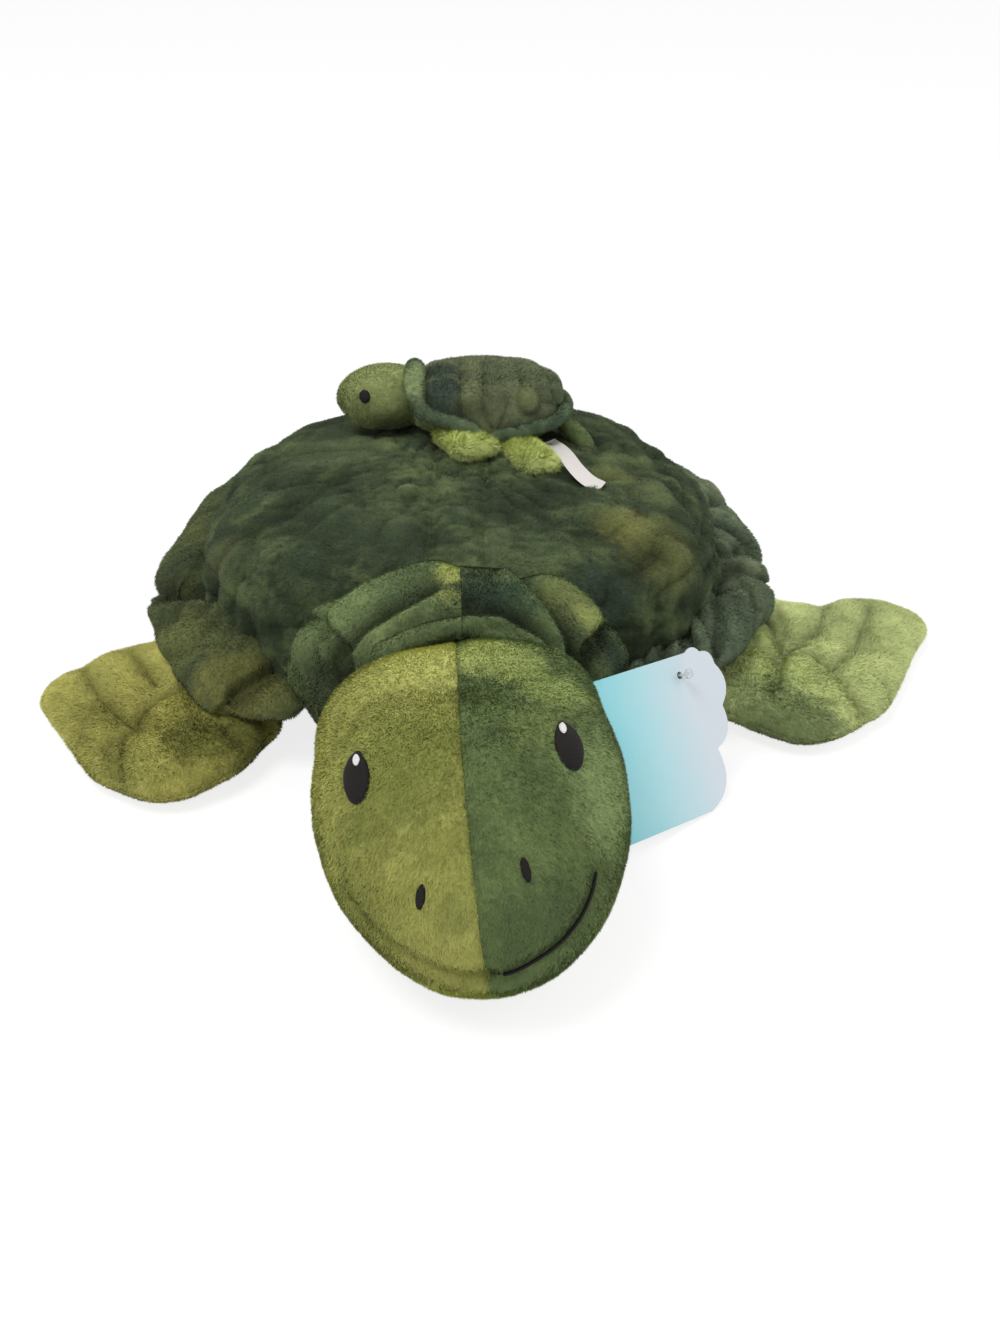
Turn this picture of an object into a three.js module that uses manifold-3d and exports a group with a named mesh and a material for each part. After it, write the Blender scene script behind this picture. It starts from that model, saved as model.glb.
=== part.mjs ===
// A plush sea turtle with a small plush turtle riding on its shell.
// Millimetres, +Z up. The origin is on the floor under the middle of the shell,
// the turtle faces -Y, and +X is its left side.
import * as THREE from "three";
import { mergeVertices } from "three/addons/utils/BufferGeometryUtils.js";
import Module from "manifold-3d";

const wasm = await Module();
wasm.setup();

// Sizes shared by every piece
const fabric = { thickness: 2.5, gap: 0.35, seamGap: 0.6 };
const blockSize = 500; // wider than the turtle, for cutting blocks
const floorHeight = 0;
const { gap, seamGap, thickness } = fabric;

// The shell: a crowned pillow with a seam round its edge
const shell = {
  halfWidth: 146,
  frontLength: 150,
  rearLength: 176,
  seamHeight: 56,
  domeHeight: 56,
  bellyDepth: 56.5,
  stripHalfWidth: 14,
  planPower: 2.3,
  domePower: 2.4,
  frontPower: 5,
  frontSpreadShare: 0.34,
  bellyPower: 3.2,
};

// The padded rim that hangs round the shell's edge
const rim = {
  reach: 31,
  tuck: 12,
  halfHeight: 13,
  height: 50,
  outerDrop: 8,
  frontDrop: 12,
  lumpDepth: 3.5,
  lumps: 5,
  startBearing: -60,
  endBearing: 90,
  startCloseShare: 0.083,
  endCloseShare: 0.063,
  frontDropShare: 0.33,
};

// The ruff: a padded hood from the shell's front edge down round the neck
const ruff = {
  lipHalfWidth: 92,
  lipRise: 71,
  lipBehind: 28, // behind the shell's front edge
  lipZ: 48,
  lipX: 2,
  lipLean: 20,
  neckRadius: 52,
  neckAhead: 53, // ahead of the shell's front edge
  halfThickness: 7,
  foldDepth: 3,
  folds: 1.5,
  startBearing: 102,
  endBearing: -32,
  startCloseShare: 0.05,
  endCloseShare: 0.17,
  clearance: 1.2,
};

// The neck: a ball of stuffing between the head and the body's stuffed neck
const neck = { x: 4, ahead: 46, z: 66, radius: 34, stubRadius: 31, clearance: 0.95 };

// The head: blunt where it meets the neck, swelling at the cheeks, with a round nose
const head = {
  x: 6,
  ahead: 90, // ahead of the shell's front edge
  z: 66,
  halfWidth: 65,
  halfHeight: 56,
  backLength: 40,
  noseLength: 117,
  cheekSwell: 5,
  browSwell: 5,
  swellLeadShare: 0.65,
  backPower: 2.8,
  nosePower: 2.3,
  sectionPower: 2.6,
  turn: 8,
  pitch: 13.5,
  roll: 8,
  chinHeight: 24,
};
const headTurns = { least: -8, most: 8 };
const headNods = { least: -5, most: 8 };

// The face: embroidered patches on the head's fabric. Directions are in degrees.
const face = {
  lift: 0.4,
  patchThickness: 1.1,
  eye: { halfWidth: 6.2, halfHeight: 12, forward: 22.3, bearing: 53.2, lean: 12 },
  glint: { halfWidth: 2, halfHeight: 3.2, rise: 6, inward: 0.8 },
  nostril: { halfWidth: 2, halfHeight: 5.6, forward: 54.3, bearing: 61.6, lean: 22 },
};
const mouth = {
  radius: 0.85,
  forwardAngles: [45, 57, 70, 82, 88, 82, 70, 57, 45],
  bearingAngles: [20, 16, 14, 18, 90, 162, 166, 164, 160],
};

// Flippers: a flat stuffed paddle each, hinged where it is sewn on under the rim.
// An outline's shares are of its reach outwards and its half width along the body.
// rootOut is how far outside the shell's side the hinge is, and rootBack how far back.
const paddles = {
  frontLeft: {
    side: 1,
    reach: 95,
    halfWidth: 84,
    halfThickness: 16,
    rootOut: 14,
    rootBack: -48,
    heading: -16.6,
    tipShare: 0.5,
    outlineShares: [
      [-0.36, -0.56],
      [0.1, -0.8],
      [0.48, -0.9],
      [0.84, -0.42],
      [0.95, 0.36],
      [1, 0.86],
      [0.66, 1],
      [0.17, 0.62],
      [-0.36, 0.5],
    ],
  },
  frontRight: {
    side: -1,
    reach: 76,
    halfWidth: 65,
    halfThickness: 16,
    rootOut: -8,
    rootBack: -95,
    heading: -38,
    tipShare: 0.6,
    outlineShares: [
      [-0.2, -0.66],
      [0, -0.9],
      [0.4, -1.1],
      [0.84, -1],
      [1.04, -0.44],
      [1, 0.2],
      [0.92, 0.8],
      [0.6, 1],
      [0.05, 0.88],
      [-0.2, 0.6],
    ],
  },
};
const rearRootAhead = 20; // ahead of the shell's rear edge
const rearOutlineShares = [
  [-0.42, -0.6],
  [0.25, -0.8],
  [0.8, -0.55],
  [1, 0.15],
  [0.8, 0.8],
  [0.3, 0.9],
  [-0.42, 0.65],
];
for (const [name, side] of [["rearLeft", 1], ["rearRight", -1]])
  paddles[name] = {
    side,
    reach: 66,
    halfWidth: 38,
    halfThickness: 14.5,
    rootOut: -48,
    rootBack: shell.rearLength - rearRootAhead,
    heading: 60,
    tipShare: 0.6,
    outlineShares: rearOutlineShares,
  };
const flaps = { least: -8, most: 25 };
const paddleCentreShare = 0.42; // of its reach: the middle that a flipper swells from
const tail = { length: 52, halfWidth: 15, halfHeight: 9, inward: 4, z: 20 };

// The hang tag: a card with a cloud-like top edge, held to the ruff by a plastic tie.
// Its lobes meet at the crest's places, given as shares of its width and height
const tag = {
  width: 80,
  height: 66,
  thickness: 1,
  crestShares: [[1, 0.97], [0.64, 1.2], [0.39, 1.37], [0.12, 1.4], [0.02, 1.27], [0, 1.12]],
  bulgeShare: 0.5, // of the way from one meeting place to the next
  holeRadius: 1.9,
  holeHeight: 66,
  holeFromEdge: 10,
  inward: 11, // from the head's side to the card's lower corner
  ahead: 41, // from the shell's front edge to that corner
  rise: 77,
  upright: [0.743, 0.656, -0.128],
  downhill: [0.257, -0.457, -0.852],
};
const tie = { radius: 0.8, headRadius: 2.6, headLength: 1.4, backReach: 36, frontReach: 6 };

// The little turtle, facing -X on the back of the big one
const baby = {
  x: 13,
  y: 50,
  seamHeight: 125,
  halfLength: 46,
  halfWidth: 35,
  domeHeight: 27,
  bellyDepth: 12,
  power: 2.4,
};
const babyRim = { overhang: 4.5, halfThickness: 4.2 };
const babyHead = {
  x: -46,
  z: 132,
  halfLength: 27,
  halfWidth: 20,
  halfHeight: 18,
  backShare: 0.7,
};
const babyEye = { radius: 4.2, halfWidth: 3, thickness: 1.1, x: -56, z: 138 };
const babyPaddle = { reach: 28, halfWidth: 13, halfThickness: 4.5, centreShare: 0.4, z: 119 };
const babyPaddleOutlineShares = [
  [-0.35, -0.6],
  [0.3, -0.75],
  [0.95, -0.8],
  [1, 0],
  [0.95, 0.8],
  [0.3, 0.75],
  [-0.35, 0.6],
];
const babyPaddles = [
  ["baby_front_flipper_left", -17, -30, -58],
  ["baby_rear_flipper_left", 18, -31, -58],
  ["baby_front_flipper_right", -17, 30, 58],
  ["baby_rear_flipper_right", 36, 28, 84],
];
const babyTail = { length: 22, halfWidth: 8, halfHeight: 5.5, x: 48, z: 115, fall: 18 };
const label = { width: 11, thickness: 0.8, x: 53, y: 22, z: 118, heading: -56 };
const labelProfile = { outs: [0, 12, 24, 36, 48], rises: [0, 1.5, -1, -5.5, -9.5] };

const degrees = (angle) => THREE.MathUtils.degToRad(angle);
const point = (x, y, z) => new THREE.Vector3(x, y, z);
const signedPower = (value, power) => Math.sign(value) * Math.abs(value) ** power;
const lerp = THREE.MathUtils.lerp;
const smallTurn = 1; // degrees, for finding a surface's direction
const pillowPower = 0.7; // below 1 fills a pillow out towards its seam

// How far a long form has opened at a place along it: it closes round at both ends
function openedAt(along, startShare, endShare) {
  return Math.sqrt(Math.min(1, along / startShare, (1 - along) / endShare));
}

// Places that follow from the shell's size
const neckY = -(shell.frontLength + neck.ahead);
const headCentre = point(head.x, -(shell.frontLength + head.ahead), head.z);
const lipY = ruff.lipBehind - shell.frontLength;
const ruffNeckY = -(shell.frontLength + ruff.neckAhead);
const tagSide = head.x + head.halfWidth - tag.inward;
const tagCorner = point(tagSide, -(shell.frontLength + tag.ahead), tag.rise);

// A closed solid from its corners and triangles, turned to face outwards
function solidFrom(corners, triangles) {
  const vertProperties = new Float32Array(corners.flatMap((corner) => corner.toArray()));
  const make = (list) =>
    new wasm.Manifold(
      new wasm.Mesh({ numProp: 3, vertProperties, triVerts: new Uint32Array(list.flat()) }),
    );
  const made = make(triangles);
  return made.volume() > 0 ? made : make(triangles.map(([a, b, c]) => [a, c, b]));
}

// A solid from a three.js geometry
function solidOf(geometry) {
  const bare = geometry.clone();
  bare.deleteAttribute("normal");
  bare.deleteAttribute("uv");
  const merged = mergeVertices(bare);
  return new wasm.Manifold(
    new wasm.Mesh({
      numProp: 3,
      vertProperties: new Float32Array(merged.attributes.position.array),
      triVerts: new Uint32Array(merged.index.array),
    }),
  );
}

// A closed form between two poles. pointAt(along, turn) gives its surface,
// with along and turn both running from 0 to 1.
function form(pointAt, rings, around) {
  const corners = [pointAt(0, 0)];
  for (let ring = 1; ring < rings; ring++)
    for (let side = 0; side < around; side++) corners.push(pointAt(ring / rings, side / around));
  corners.push(pointAt(1, 0));
  const last = corners.length - 1;
  const at = (ring, side) => 1 + (ring - 1) * around + (side % around);
  const triangles = [];
  for (let side = 0; side < around; side++) {
    triangles.push([0, at(1, side + 1), at(1, side)]);
    triangles.push([last, at(rings - 1, side), at(rings - 1, side + 1)]);
    for (let ring = 1; ring < rings - 1; ring++) {
      const [a, b] = [at(ring, side), at(ring, side + 1)];
      const [c, d] = [at(ring + 1, side + 1), at(ring + 1, side)];
      triangles.push([a, b, c], [a, c, d]);
    }
  }
  return solidFrom(corners, triangles);
}

// An egg-shaped form about its own X axis
function egg(halfLength, halfWidth, halfHeight, rings, around, backShare = 1) {
  return form(
    (along, turn) => {
      const lift = Math.PI * (along - 1 / 2);
      const angle = 2 * Math.PI * turn;
      const reach = Math.sin(lift) > 0 ? halfLength * backShare : halfLength;
      return point(
        reach * Math.sin(lift),
        halfWidth * Math.cos(lift) * Math.cos(angle),
        halfHeight * Math.cos(lift) * Math.sin(angle),
      );
    },
    rings,
    around,
  );
}

// A flat pillow: a closed outline that swells up and down from its seam
function pillow(outline, centre, halfThickness, rings, around, inset = 0, tipAt = () => 1) {
  const curve = new THREE.CatmullRomCurve3(
    outline.map(([x, y]) => point(x, y, 0)),
    true,
  );
  return form(
    (along, turn) => {
      const rimPoint = curve.getPoint(turn).sub(centre);
      const spread = Math.sin(Math.PI * along) ** pillowPower * (1 - inset / rimPoint.length());
      const place = rimPoint.multiplyScalar(spread).add(centre);
      place.z = Math.cos(Math.PI * along) * (halfThickness * tipAt(place) - inset);
      return place;
    },
    rings,
    around,
  );
}

// A block between two places along an axis
function slab(axis, from, to) {
  const size = point(2 * blockSize, 2 * blockSize, 2 * blockSize);
  const centre = point(0, 0, 0);
  size[axis] = to - from;
  centre[axis] = (to + from) / 2;
  const geometry = new THREE.BoxGeometry(...size.toArray());
  return solidOf(geometry.translate(...centre.toArray()));
}
const above = (height) => slab("z", height, height + 2 * blockSize);
const below = (height) => slab("z", height - 2 * blockSize, height);
const onSide = (side, from) => (side > 0 ? slab("x", from, blockSize) : slab("x", -blockSize, -from));
const moved = (solid, matrix) => solid.transform(matrix.elements);

// Everything an obstacle covers, as seen from a piece that turns through some angles
function sweptBy(obstacle, pivot, axis, angles) {
  const turns = angles.map((angle) => {
    const matrix = new THREE.Matrix4()
      .makeTranslation(...pivot.toArray())
      .multiply(new THREE.Matrix4().makeRotationAxis(axis, degrees(-angle)))
      .multiply(new THREE.Matrix4().makeTranslation(...pivot.clone().negate().toArray()));
    return moved(obstacle, matrix);
  });
  return turns.reduce((sum, turned) => sum.add(turned));
}

// Materials, one for each cloth or card
const cloth = (color) => new THREE.MeshStandardMaterial({ color, roughness: 0.95, metalness: 0 });
const darkPlush = cloth(0x39482c);
const rimPlush = cloth(0x3c4c33);
const headPlush = cloth(0x7f9350);
const flipperPlush = cloth(0x8b9c58);
const bellyPlush = cloth(0x97a566);
const babyPlush = cloth(0x7d9150);
const babyShellPlush = cloth(0x55653f);
const stuffing = cloth(0xf1efe8);
const blackThread = cloth(0x1c1b19);
const whiteThread = cloth(0xf2efe9);
const satin = cloth(0xd9d0cf);
const card = new THREE.MeshStandardMaterial({ color: 0xa9d6dc, roughness: 0.4, metalness: 0 });
const clearPlastic = new THREE.MeshStandardMaterial({ color: 0xe8eaea, roughness: 0.3 });

// Groups: the turtle, and one for each piece that moves
const turtle = new THREE.Group();
function movingGroup(place) {
  const group = new THREE.Group();
  group.position.copy(place);
  turtle.add(group);
  return group;
}

// Adds a solid made in the turtle's own frame to a group, as a named mesh
function add(name, solid, material, group = turtle) {
  const { numProp, vertProperties, triVerts } = solid.getMesh();
  const corners = new Float32Array((vertProperties.length / numProp) * 3);
  for (let i = 0; i < corners.length / 3; i++)
    corners.set(vertProperties.subarray(i * numProp, i * numProp + 3), i * 3);
  const geometry = new THREE.BufferGeometry()
    .setAttribute("position", new THREE.BufferAttribute(corners, 3))
    .setIndex(new THREE.BufferAttribute(new Uint32Array(triVerts), 1));
  if (group !== turtle) geometry.translate(...group.position.clone().negate().toArray());
  geometry.computeVertexNormals();
  const mesh = new THREE.Mesh(geometry, material);
  mesh.name = name;
  group.add(mesh);
}

// The shell's edge in plan at a bearing, with the form drawn in by inset
function shellEdge(bearing, inset = 0) {
  const length = Math.sin(bearing) < 0 ? shell.frontLength : shell.rearLength;
  const power = 2 / shell.planPower;
  return point(
    (shell.halfWidth - inset) * signedPower(Math.cos(bearing), power),
    (length - inset) * signedPower(Math.sin(bearing), power),
    shell.seamHeight,
  );
}

// How square the dome's edge is at a bearing: the neck holds the front up
function domePowerAt(bearing) {
  const fromFront = Math.atan2(Math.cos(bearing), -Math.sin(bearing)) / Math.PI;
  const front = Math.exp(-((fromFront / shell.frontSpreadShare) ** 2));
  return lerp(shell.domePower, shell.frontPower, front);
}

// The whole shell from the middle of the belly over the edge to the crown
function shellForm(inset = 0, rings = 14, around = 36) {
  return form(
    (along, turn) => {
      const bearing = 2 * Math.PI * turn;
      const lift = Math.PI * (along - 1 / 2);
      const upper = lift > 0;
      const power = upper ? domePowerAt(bearing) : shell.bellyPower;
      const edge = shellEdge(bearing, inset);
      const out = along === 0 || along === 1 ? 0 : Math.cos(lift) ** (2 / power);
      const height = (upper ? shell.domeHeight : shell.bellyDepth) - inset;
      const rise = signedPower(Math.sin(lift), 2 / power) * height;
      return point(edge.x * out, edge.y * out, shell.seamHeight + rise);
    },
    rings,
    around,
  ).intersect(above(Math.max(floorHeight, inset)));
}

// The shell's cover: two dome panels, the strip between them, and the belly
const shellInside = shellForm(thickness, 8, 18);
const shellSkin = shellForm().subtract(shellInside);
const domeSkin = shellSkin.intersect(above(shell.seamHeight + seamGap / 2));
const stripEdge = shell.stripHalfWidth;
add("shell_panel_left", domeSkin.intersect(onSide(1, stripEdge + seamGap / 2)), darkPlush);
add("shell_panel_right", domeSkin.intersect(onSide(-1, stripEdge + seamGap / 2)), darkPlush);
const stripSlab = slab("x", seamGap / 2 - stripEdge, stripEdge - seamGap / 2);
add("shell_centre_strip", domeSkin.intersect(stripSlab), darkPlush);
add("belly_panel", shellSkin.intersect(below(shell.seamHeight - seamGap / 2)), bellyPlush);
add("body_filling", shellForm(thickness + gap, 8, 18), stuffing);
const shellOuter = shellForm(-gap);

// The head's surface. forward runs from the back (-90) to the nose (90), in degrees,
// and bearing goes round it from its left cheek over the brow.
const headTilt = new THREE.Matrix4()
  .makeRotationZ(degrees(head.turn))
  .multiply(new THREE.Matrix4().makeRotationX(degrees(head.pitch)))
  .multiply(new THREE.Matrix4().makeRotationY(degrees(-head.roll)));
function headPoint(forward, bearing, inset = 0) {
  const sine = Math.sin(degrees(forward));
  const angle = degrees(bearing);
  const power = sine < 0 ? head.backPower : head.nosePower;
  const length = (sine < 0 ? head.backLength : head.noseLength) - inset;
  const closing = Math.max(0, 1 - Math.abs(sine) ** power) ** (1 / power);
  const swell = sine < 0 ? 0 : Math.sin(Math.PI * sine ** head.swellLeadShare) ** 2;
  const round = 2 / lerp(head.sectionPower, 2, Math.max(0, sine));
  const wide = (head.halfWidth - inset) * closing + head.cheekSwell * swell;
  const high = (head.halfHeight - inset) * closing + head.browSwell * swell;
  const place = point(
    wide * signedPower(Math.cos(angle), round),
    -length * sine,
    high * signedPower(Math.sin(angle), round),
  );
  return place.applyMatrix4(headTilt).add(headCentre);
}
function headForm(inset = 0, rings = 16, around = 28) {
  return form(
    (along, turn) => headPoint(180 * along - 90, 360 * turn, inset),
    rings,
    around,
  ).intersect(above(Math.max(floorHeight, inset)));
}

// The hang tag's card, with a lobed upper edge that slants, and a hole
const tagAcross = point(...tag.downhill).normalize();
const tagUp = point(...tag.upright).normalize();
const tagOut = tagAcross.clone().cross(tagUp).normalize();
const tagPlace = new THREE.Matrix4().makeBasis(tagAcross, tagUp, tagOut);
tagPlace.setPosition(tagCorner);
function cardOutline(grow) {
  const outline = new THREE.Shape();
  const crest = tag.crestShares.map(
    ([across, up]) => new THREE.Vector2(across * tag.width, up * tag.height + grow)
  );
  outline.moveTo(-grow, -grow);
  outline.lineTo(tag.width + grow, -grow);
  outline.lineTo(tag.width + grow, crest[0].y);
  let last = crest[0];
  for (const next of crest.slice(1)) {
    const step = next.clone().sub(last);
    const out = new THREE.Vector2(step.y, -step.x).multiplyScalar(tag.bulgeShare);
    const middle = last.clone().add(next).multiplyScalar(1 / 2);
    outline.quadraticCurveTo(middle.x + out.x, middle.y + out.y, next.x, next.y);
    last = next;
  }
  outline.lineTo(-grow, last.y);
  return outline;
}
const cardShape = cardOutline(0);
const punch = new THREE.Path();
punch.absarc(tag.holeFromEdge, tag.holeHeight, tag.holeRadius, 0, 2 * Math.PI, true);
cardShape.holes.push(punch);
const tagGeometry = new THREE.ExtrudeGeometry(cardShape, {
  depth: tag.thickness,
  bevelEnabled: false,
  curveSegments: 8,
});
tagGeometry.translate(0, 0, -tag.thickness / 2);
const holePlace = point(tag.holeFromEdge, tag.holeHeight, 0).applyMatrix4(tagPlace);
const tagGroup = movingGroup(holePlace);
add("hang_tag", solidOf(tagGeometry.applyMatrix4(tagPlace)), card, tagGroup);

// The room that the card needs in front of the cloth it leans on
const tagRoomGeometry = new THREE.ExtrudeGeometry(cardOutline(gap), {
  depth: tag.width / 2,
  bevelEnabled: false,
  curveSegments: 6,
});
tagRoomGeometry.translate(0, 0, -tag.thickness / 2 - gap);
const tagRoom = solidOf(tagRoomGeometry.applyMatrix4(tagPlace));

// The tie: a plastic pin through the card into the rim, with a flat head
const pinPlace = new THREE.Matrix4()
  .makeBasis(tagUp, tagOut, tagUp.clone().cross(tagOut))
  .setPosition(holePlace);
function pin(grow) {
  const outline = [
    [0, -tie.backReach - grow],
    [tie.radius + grow, -tie.backReach - grow],
    [tie.radius + grow, tie.frontReach],
    [tie.headRadius + grow, tie.frontReach],
    [tie.headRadius + grow, tie.frontReach + tie.headLength],
    [0, tie.frontReach + tie.headLength],
  ].map(([radius, height]) => new THREE.Vector2(radius, height));
  return solidOf(new THREE.LatheGeometry(outline, 10).applyMatrix4(pinPlace));
}
add("tag_tie", pin(0).subtract(shellOuter), clearPlastic);
const tieRoom = pin(gap);

// All the room that the head takes as it turns and nods on the neck
const neckPivot = point(neck.x, neckY, neck.z);
const upAxis = point(0, 0, 1);
const sideAxis = point(1, 0, 0);
const nods = [headNods.least, 0, headNods.most];
const turns = [headTurns.least, 0, headTurns.most];
const headNodded = sweptBy(headForm(-gap), neckPivot, sideAxis, nods);
const headRoom = sweptBy(headNodded, neckPivot, upAxis, turns);

// The neck ball
const neckBall = (radius) =>
  solidOf(new THREE.IcosahedronGeometry(radius, 3).translate(...neckPivot.toArray()));
const neckSocket = neckBall(neck.radius + neck.clearance);
const neckGroup = movingGroup(neckPivot);
add("neck_ball", neckBall(neck.radius), stuffing, neckGroup);

// The ruff on one side: a padded flap from its lip to the neck
function ruffForm(side, inset = 0, rings = 14, around = 12) {
  return form(
    (along, turn) => {
      const bearing = degrees(lerp(ruff.startBearing, ruff.endBearing, along));
      const radial = point(side * Math.cos(bearing), 0, Math.sin(bearing));
      const lip = point(
        ruff.lipX + ruff.lipHalfWidth * radial.x,
        lipY - ruff.lipLean * Math.max(0, radial.z),
        ruff.lipZ + ruff.lipRise * radial.z,
      );
      const inner = point(
        neck.x + ruff.neckRadius * radial.x,
        ruffNeckY,
        neck.z + ruff.neckRadius * radial.z,
      );
      const slope = inner.clone().sub(lip);
      const out = radial.clone().multiplyScalar(-slope.y);
      out.y = slope.dot(radial);
      out.normalize();
      const angle = 2 * Math.PI * turn;
      const closing = openedAt(along, ruff.startCloseShare, ruff.endCloseShare);
      const half = 1 / 2 - inset / slope.length();
      const share = 1 / 2 - half * Math.cos(angle) * closing;
      const fold = Math.cos(2 * Math.PI * ruff.folds * share) * ruff.foldDepth;
      const thick = (ruff.halfThickness - inset) * Math.sin(angle) * closing;
      return lip.lerp(inner, share).addScaledVector(out, thick + fold);
    },
    rings,
    around,
  );
}
const ruffOuters = {};
for (const [name, side] of [["left", 1], ["right", -1]]) {
  const cut = (solid) =>
    solid
      .intersect(onSide(side, side * ruff.lipX + seamGap / 2))
      .subtract(shellOuter)
      .subtract(headRoom)
      .subtract(tagRoom)
      .subtract(tieRoom)
      .intersect(above(floorHeight));
  add("ruff_" + name, cut(ruffForm(side)), rimPlush);
  ruffOuters[side] = ruffForm(side, -ruff.clearance);
}

// The neck stub: stuffing between the shell's front and the neck ball
const stub = solidOf(
  new THREE.CylinderGeometry(neck.stubRadius, neck.stubRadius, neck.radius, 20).translate(
    neck.x,
    neckY + neck.radius,
    neck.z,
  ),
);
add("neck_filling", stub.subtract(neckSocket).subtract(shellOuter), stuffing);

// The head's cover and its stuffing
const headGroup = movingGroup(neckPivot);
const headSkin = headForm().subtract(headForm(thickness, 9, 16)).subtract(neckSocket);
function headHalf(side) {
  const block = new THREE.BoxGeometry(blockSize, 2 * blockSize, 2 * blockSize);
  block.translate(side * (blockSize / 2 + seamGap / 2), 0, 0);
  block.applyMatrix4(headTilt).translate(...headCentre.toArray());
  return solidOf(block);
}
const faceSkin = headSkin.intersect(above(head.chinHeight + seamGap / 2));
add("head_panel_left", faceSkin.intersect(headHalf(1)), headPlush, headGroup);
add("head_panel_right", faceSkin.intersect(headHalf(-1)), headPlush, headGroup);
add("chin_panel", headSkin.intersect(below(head.chinHeight - seamGap / 2)), headPlush, headGroup);
const headStuffing = headForm(thickness + gap, 9, 16).subtract(neckSocket);
add("head_filling", headStuffing, stuffing, headGroup);

// The layer of air that patches on the head fill
const faceLayer = headForm(-face.lift - face.patchThickness, 24, 40).subtract(
  headForm(-face.lift, 24, 40),
);

// A flat outline pushed through the head's surface, kept where it meets that layer
function patch(outline, forward, bearing, lean, depth) {
  const place = headPoint(forward, bearing);
  const ahead = headPoint(forward + smallTurn, bearing);
  const onward = ahead.sub(headPoint(forward - smallTurn, bearing));
  const beside = headPoint(forward, bearing + smallTurn);
  const sideways = beside.sub(headPoint(forward, bearing - smallTurn));
  const out = sideways.clone().cross(onward).normalize();
  if (out.dot(place.clone().sub(headCentre)) < 0) out.negate();
  const upward = onward.negate().normalize().applyAxisAngle(out, degrees(lean));
  const across = upward.clone().cross(out);
  const bar = new THREE.ExtrudeGeometry(outline, { depth: 2 * depth, bevelEnabled: false });
  bar.translate(0, 0, -depth);
  bar.applyMatrix4(new THREE.Matrix4().makeBasis(across, upward, out).setPosition(place));
  return solidOf(bar).intersect(faceLayer);
}

// An almond: an ellipse whose top is drawn to a point
function almond(halfWidth, halfHeight, centre = [0, 0], pointedShare = 0.35, steps = 16) {
  const outline = [];
  for (let i = 0; i < steps; i++) {
    const angle = (2 * Math.PI * i) / steps;
    const narrow = 1 - pointedShare * Math.max(0, Math.sin(angle)) ** 2;
    const x = centre[0] + halfWidth * Math.cos(angle) * narrow;
    outline.push(new THREE.Vector2(x, centre[1] + halfHeight * Math.sin(angle)));
  }
  return new THREE.Shape(outline);
}
for (const [name, side] of [["left", 1], ["right", -1]]) {
  const { eye, glint, nostril } = face;
  const over = (angle) => (side > 0 ? angle : 180 - angle);
  const depth = eye.halfHeight;
  const glintCentre = [-side * glint.inward, glint.rise];
  const eyeShape = almond(eye.halfWidth, eye.halfHeight);
  eyeShape.holes.push(almond(glint.halfWidth + gap, glint.halfHeight + gap, glintCentre, 0, 8));
  const eyePlace = [eye.forward, over(eye.bearing), side * eye.lean, depth];
  add("eye_" + name, patch(eyeShape, ...eyePlace), blackThread, headGroup);
  const glintShape = almond(glint.halfWidth, glint.halfHeight, glintCentre, 0, 8);
  add("eye_glint_" + name, patch(glintShape, ...eyePlace), whiteThread, headGroup);
  const slot = almond(nostril.halfWidth, nostril.halfHeight, [0, 0], 0, 10);
  const nosePlace = [nostril.forward, over(nostril.bearing), side * nostril.lean, depth];
  add("nostril_" + name, patch(slot, ...nosePlace), blackThread, headGroup);
}

// The mouth: a line of stitching round the front of the face
const mouthPath = mouth.forwardAngles.map((forward, i) =>
  headPoint(forward, mouth.bearingAngles[i], -face.lift - mouth.radius),
);
const thread = new THREE.Shape(
  Array.from({ length: 5 }, (_, i) => {
    const angle = (2 * Math.PI * i) / 5;
    return new THREE.Vector2(mouth.radius * Math.cos(angle), mouth.radius * Math.sin(angle));
  }),
);
const mouthThread = new THREE.ExtrudeGeometry(thread, {
  steps: 28,
  extrudePath: new THREE.CatmullRomCurve3(mouthPath),
  bevelEnabled: false,
});
const faceClear = headForm(-face.lift / 2, 24, 40);
add("mouth_stitching", solidOf(mouthThread).subtract(faceClear), blackThread, headGroup);

// The rim on one side, from the shoulder round to the tail
function rimForm(side, inset = 0, rings = 24, around = 8) {
  return form(
    (along, turn) => {
      const bearing = degrees(lerp(rim.startBearing, rim.endBearing, along));
      const edge = shellEdge(bearing);
      const step = degrees(smallTurn);
      const tangent = shellEdge(bearing + step).sub(shellEdge(bearing - step));
      const outward = point(tangent.y, -tangent.x, 0).normalize();
      const closing = openedAt(along, rim.startCloseShare, rim.endCloseShare);
      const lump = rim.lumpDepth * (Math.abs(Math.sin(Math.PI * rim.lumps * along)) - 1);
      const angle = 2 * Math.PI * turn;
      const wide = (rim.reach + rim.tuck) / 2 - inset + lump;
      const high = rim.halfHeight - inset + lump / 2;
      const out = (rim.reach - rim.tuck) / 2 + wide * Math.cos(angle) * closing;
      const place = edge.addScaledVector(outward, out);
      const forward = Math.max(0, 1 - along / rim.frontDropShare) ** 2;
      const drop = rim.frontDrop * forward + (rim.outerDrop * out) / rim.reach;
      place.x *= side;
      place.z = rim.height - drop + high * Math.sin(angle) * closing;
      return place;
    },
    rings,
    around,
  );
}
const rimOuters = {};
for (const [name, side] of [["left", 1], ["right", -1]]) {
  rimOuters[side] = rimForm(side, -gap).subtract(onSide(-side, 0));
  const solid = rimForm(side).subtract(shellOuter).subtract(ruffOuters[side]);
  const clear = solid.subtract(headRoom).subtract(tagRoom).subtract(tieRoom);
  add("rim_" + name, clear.intersect(onSide(side, seamGap / 2)), rimPlush);
}

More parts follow.
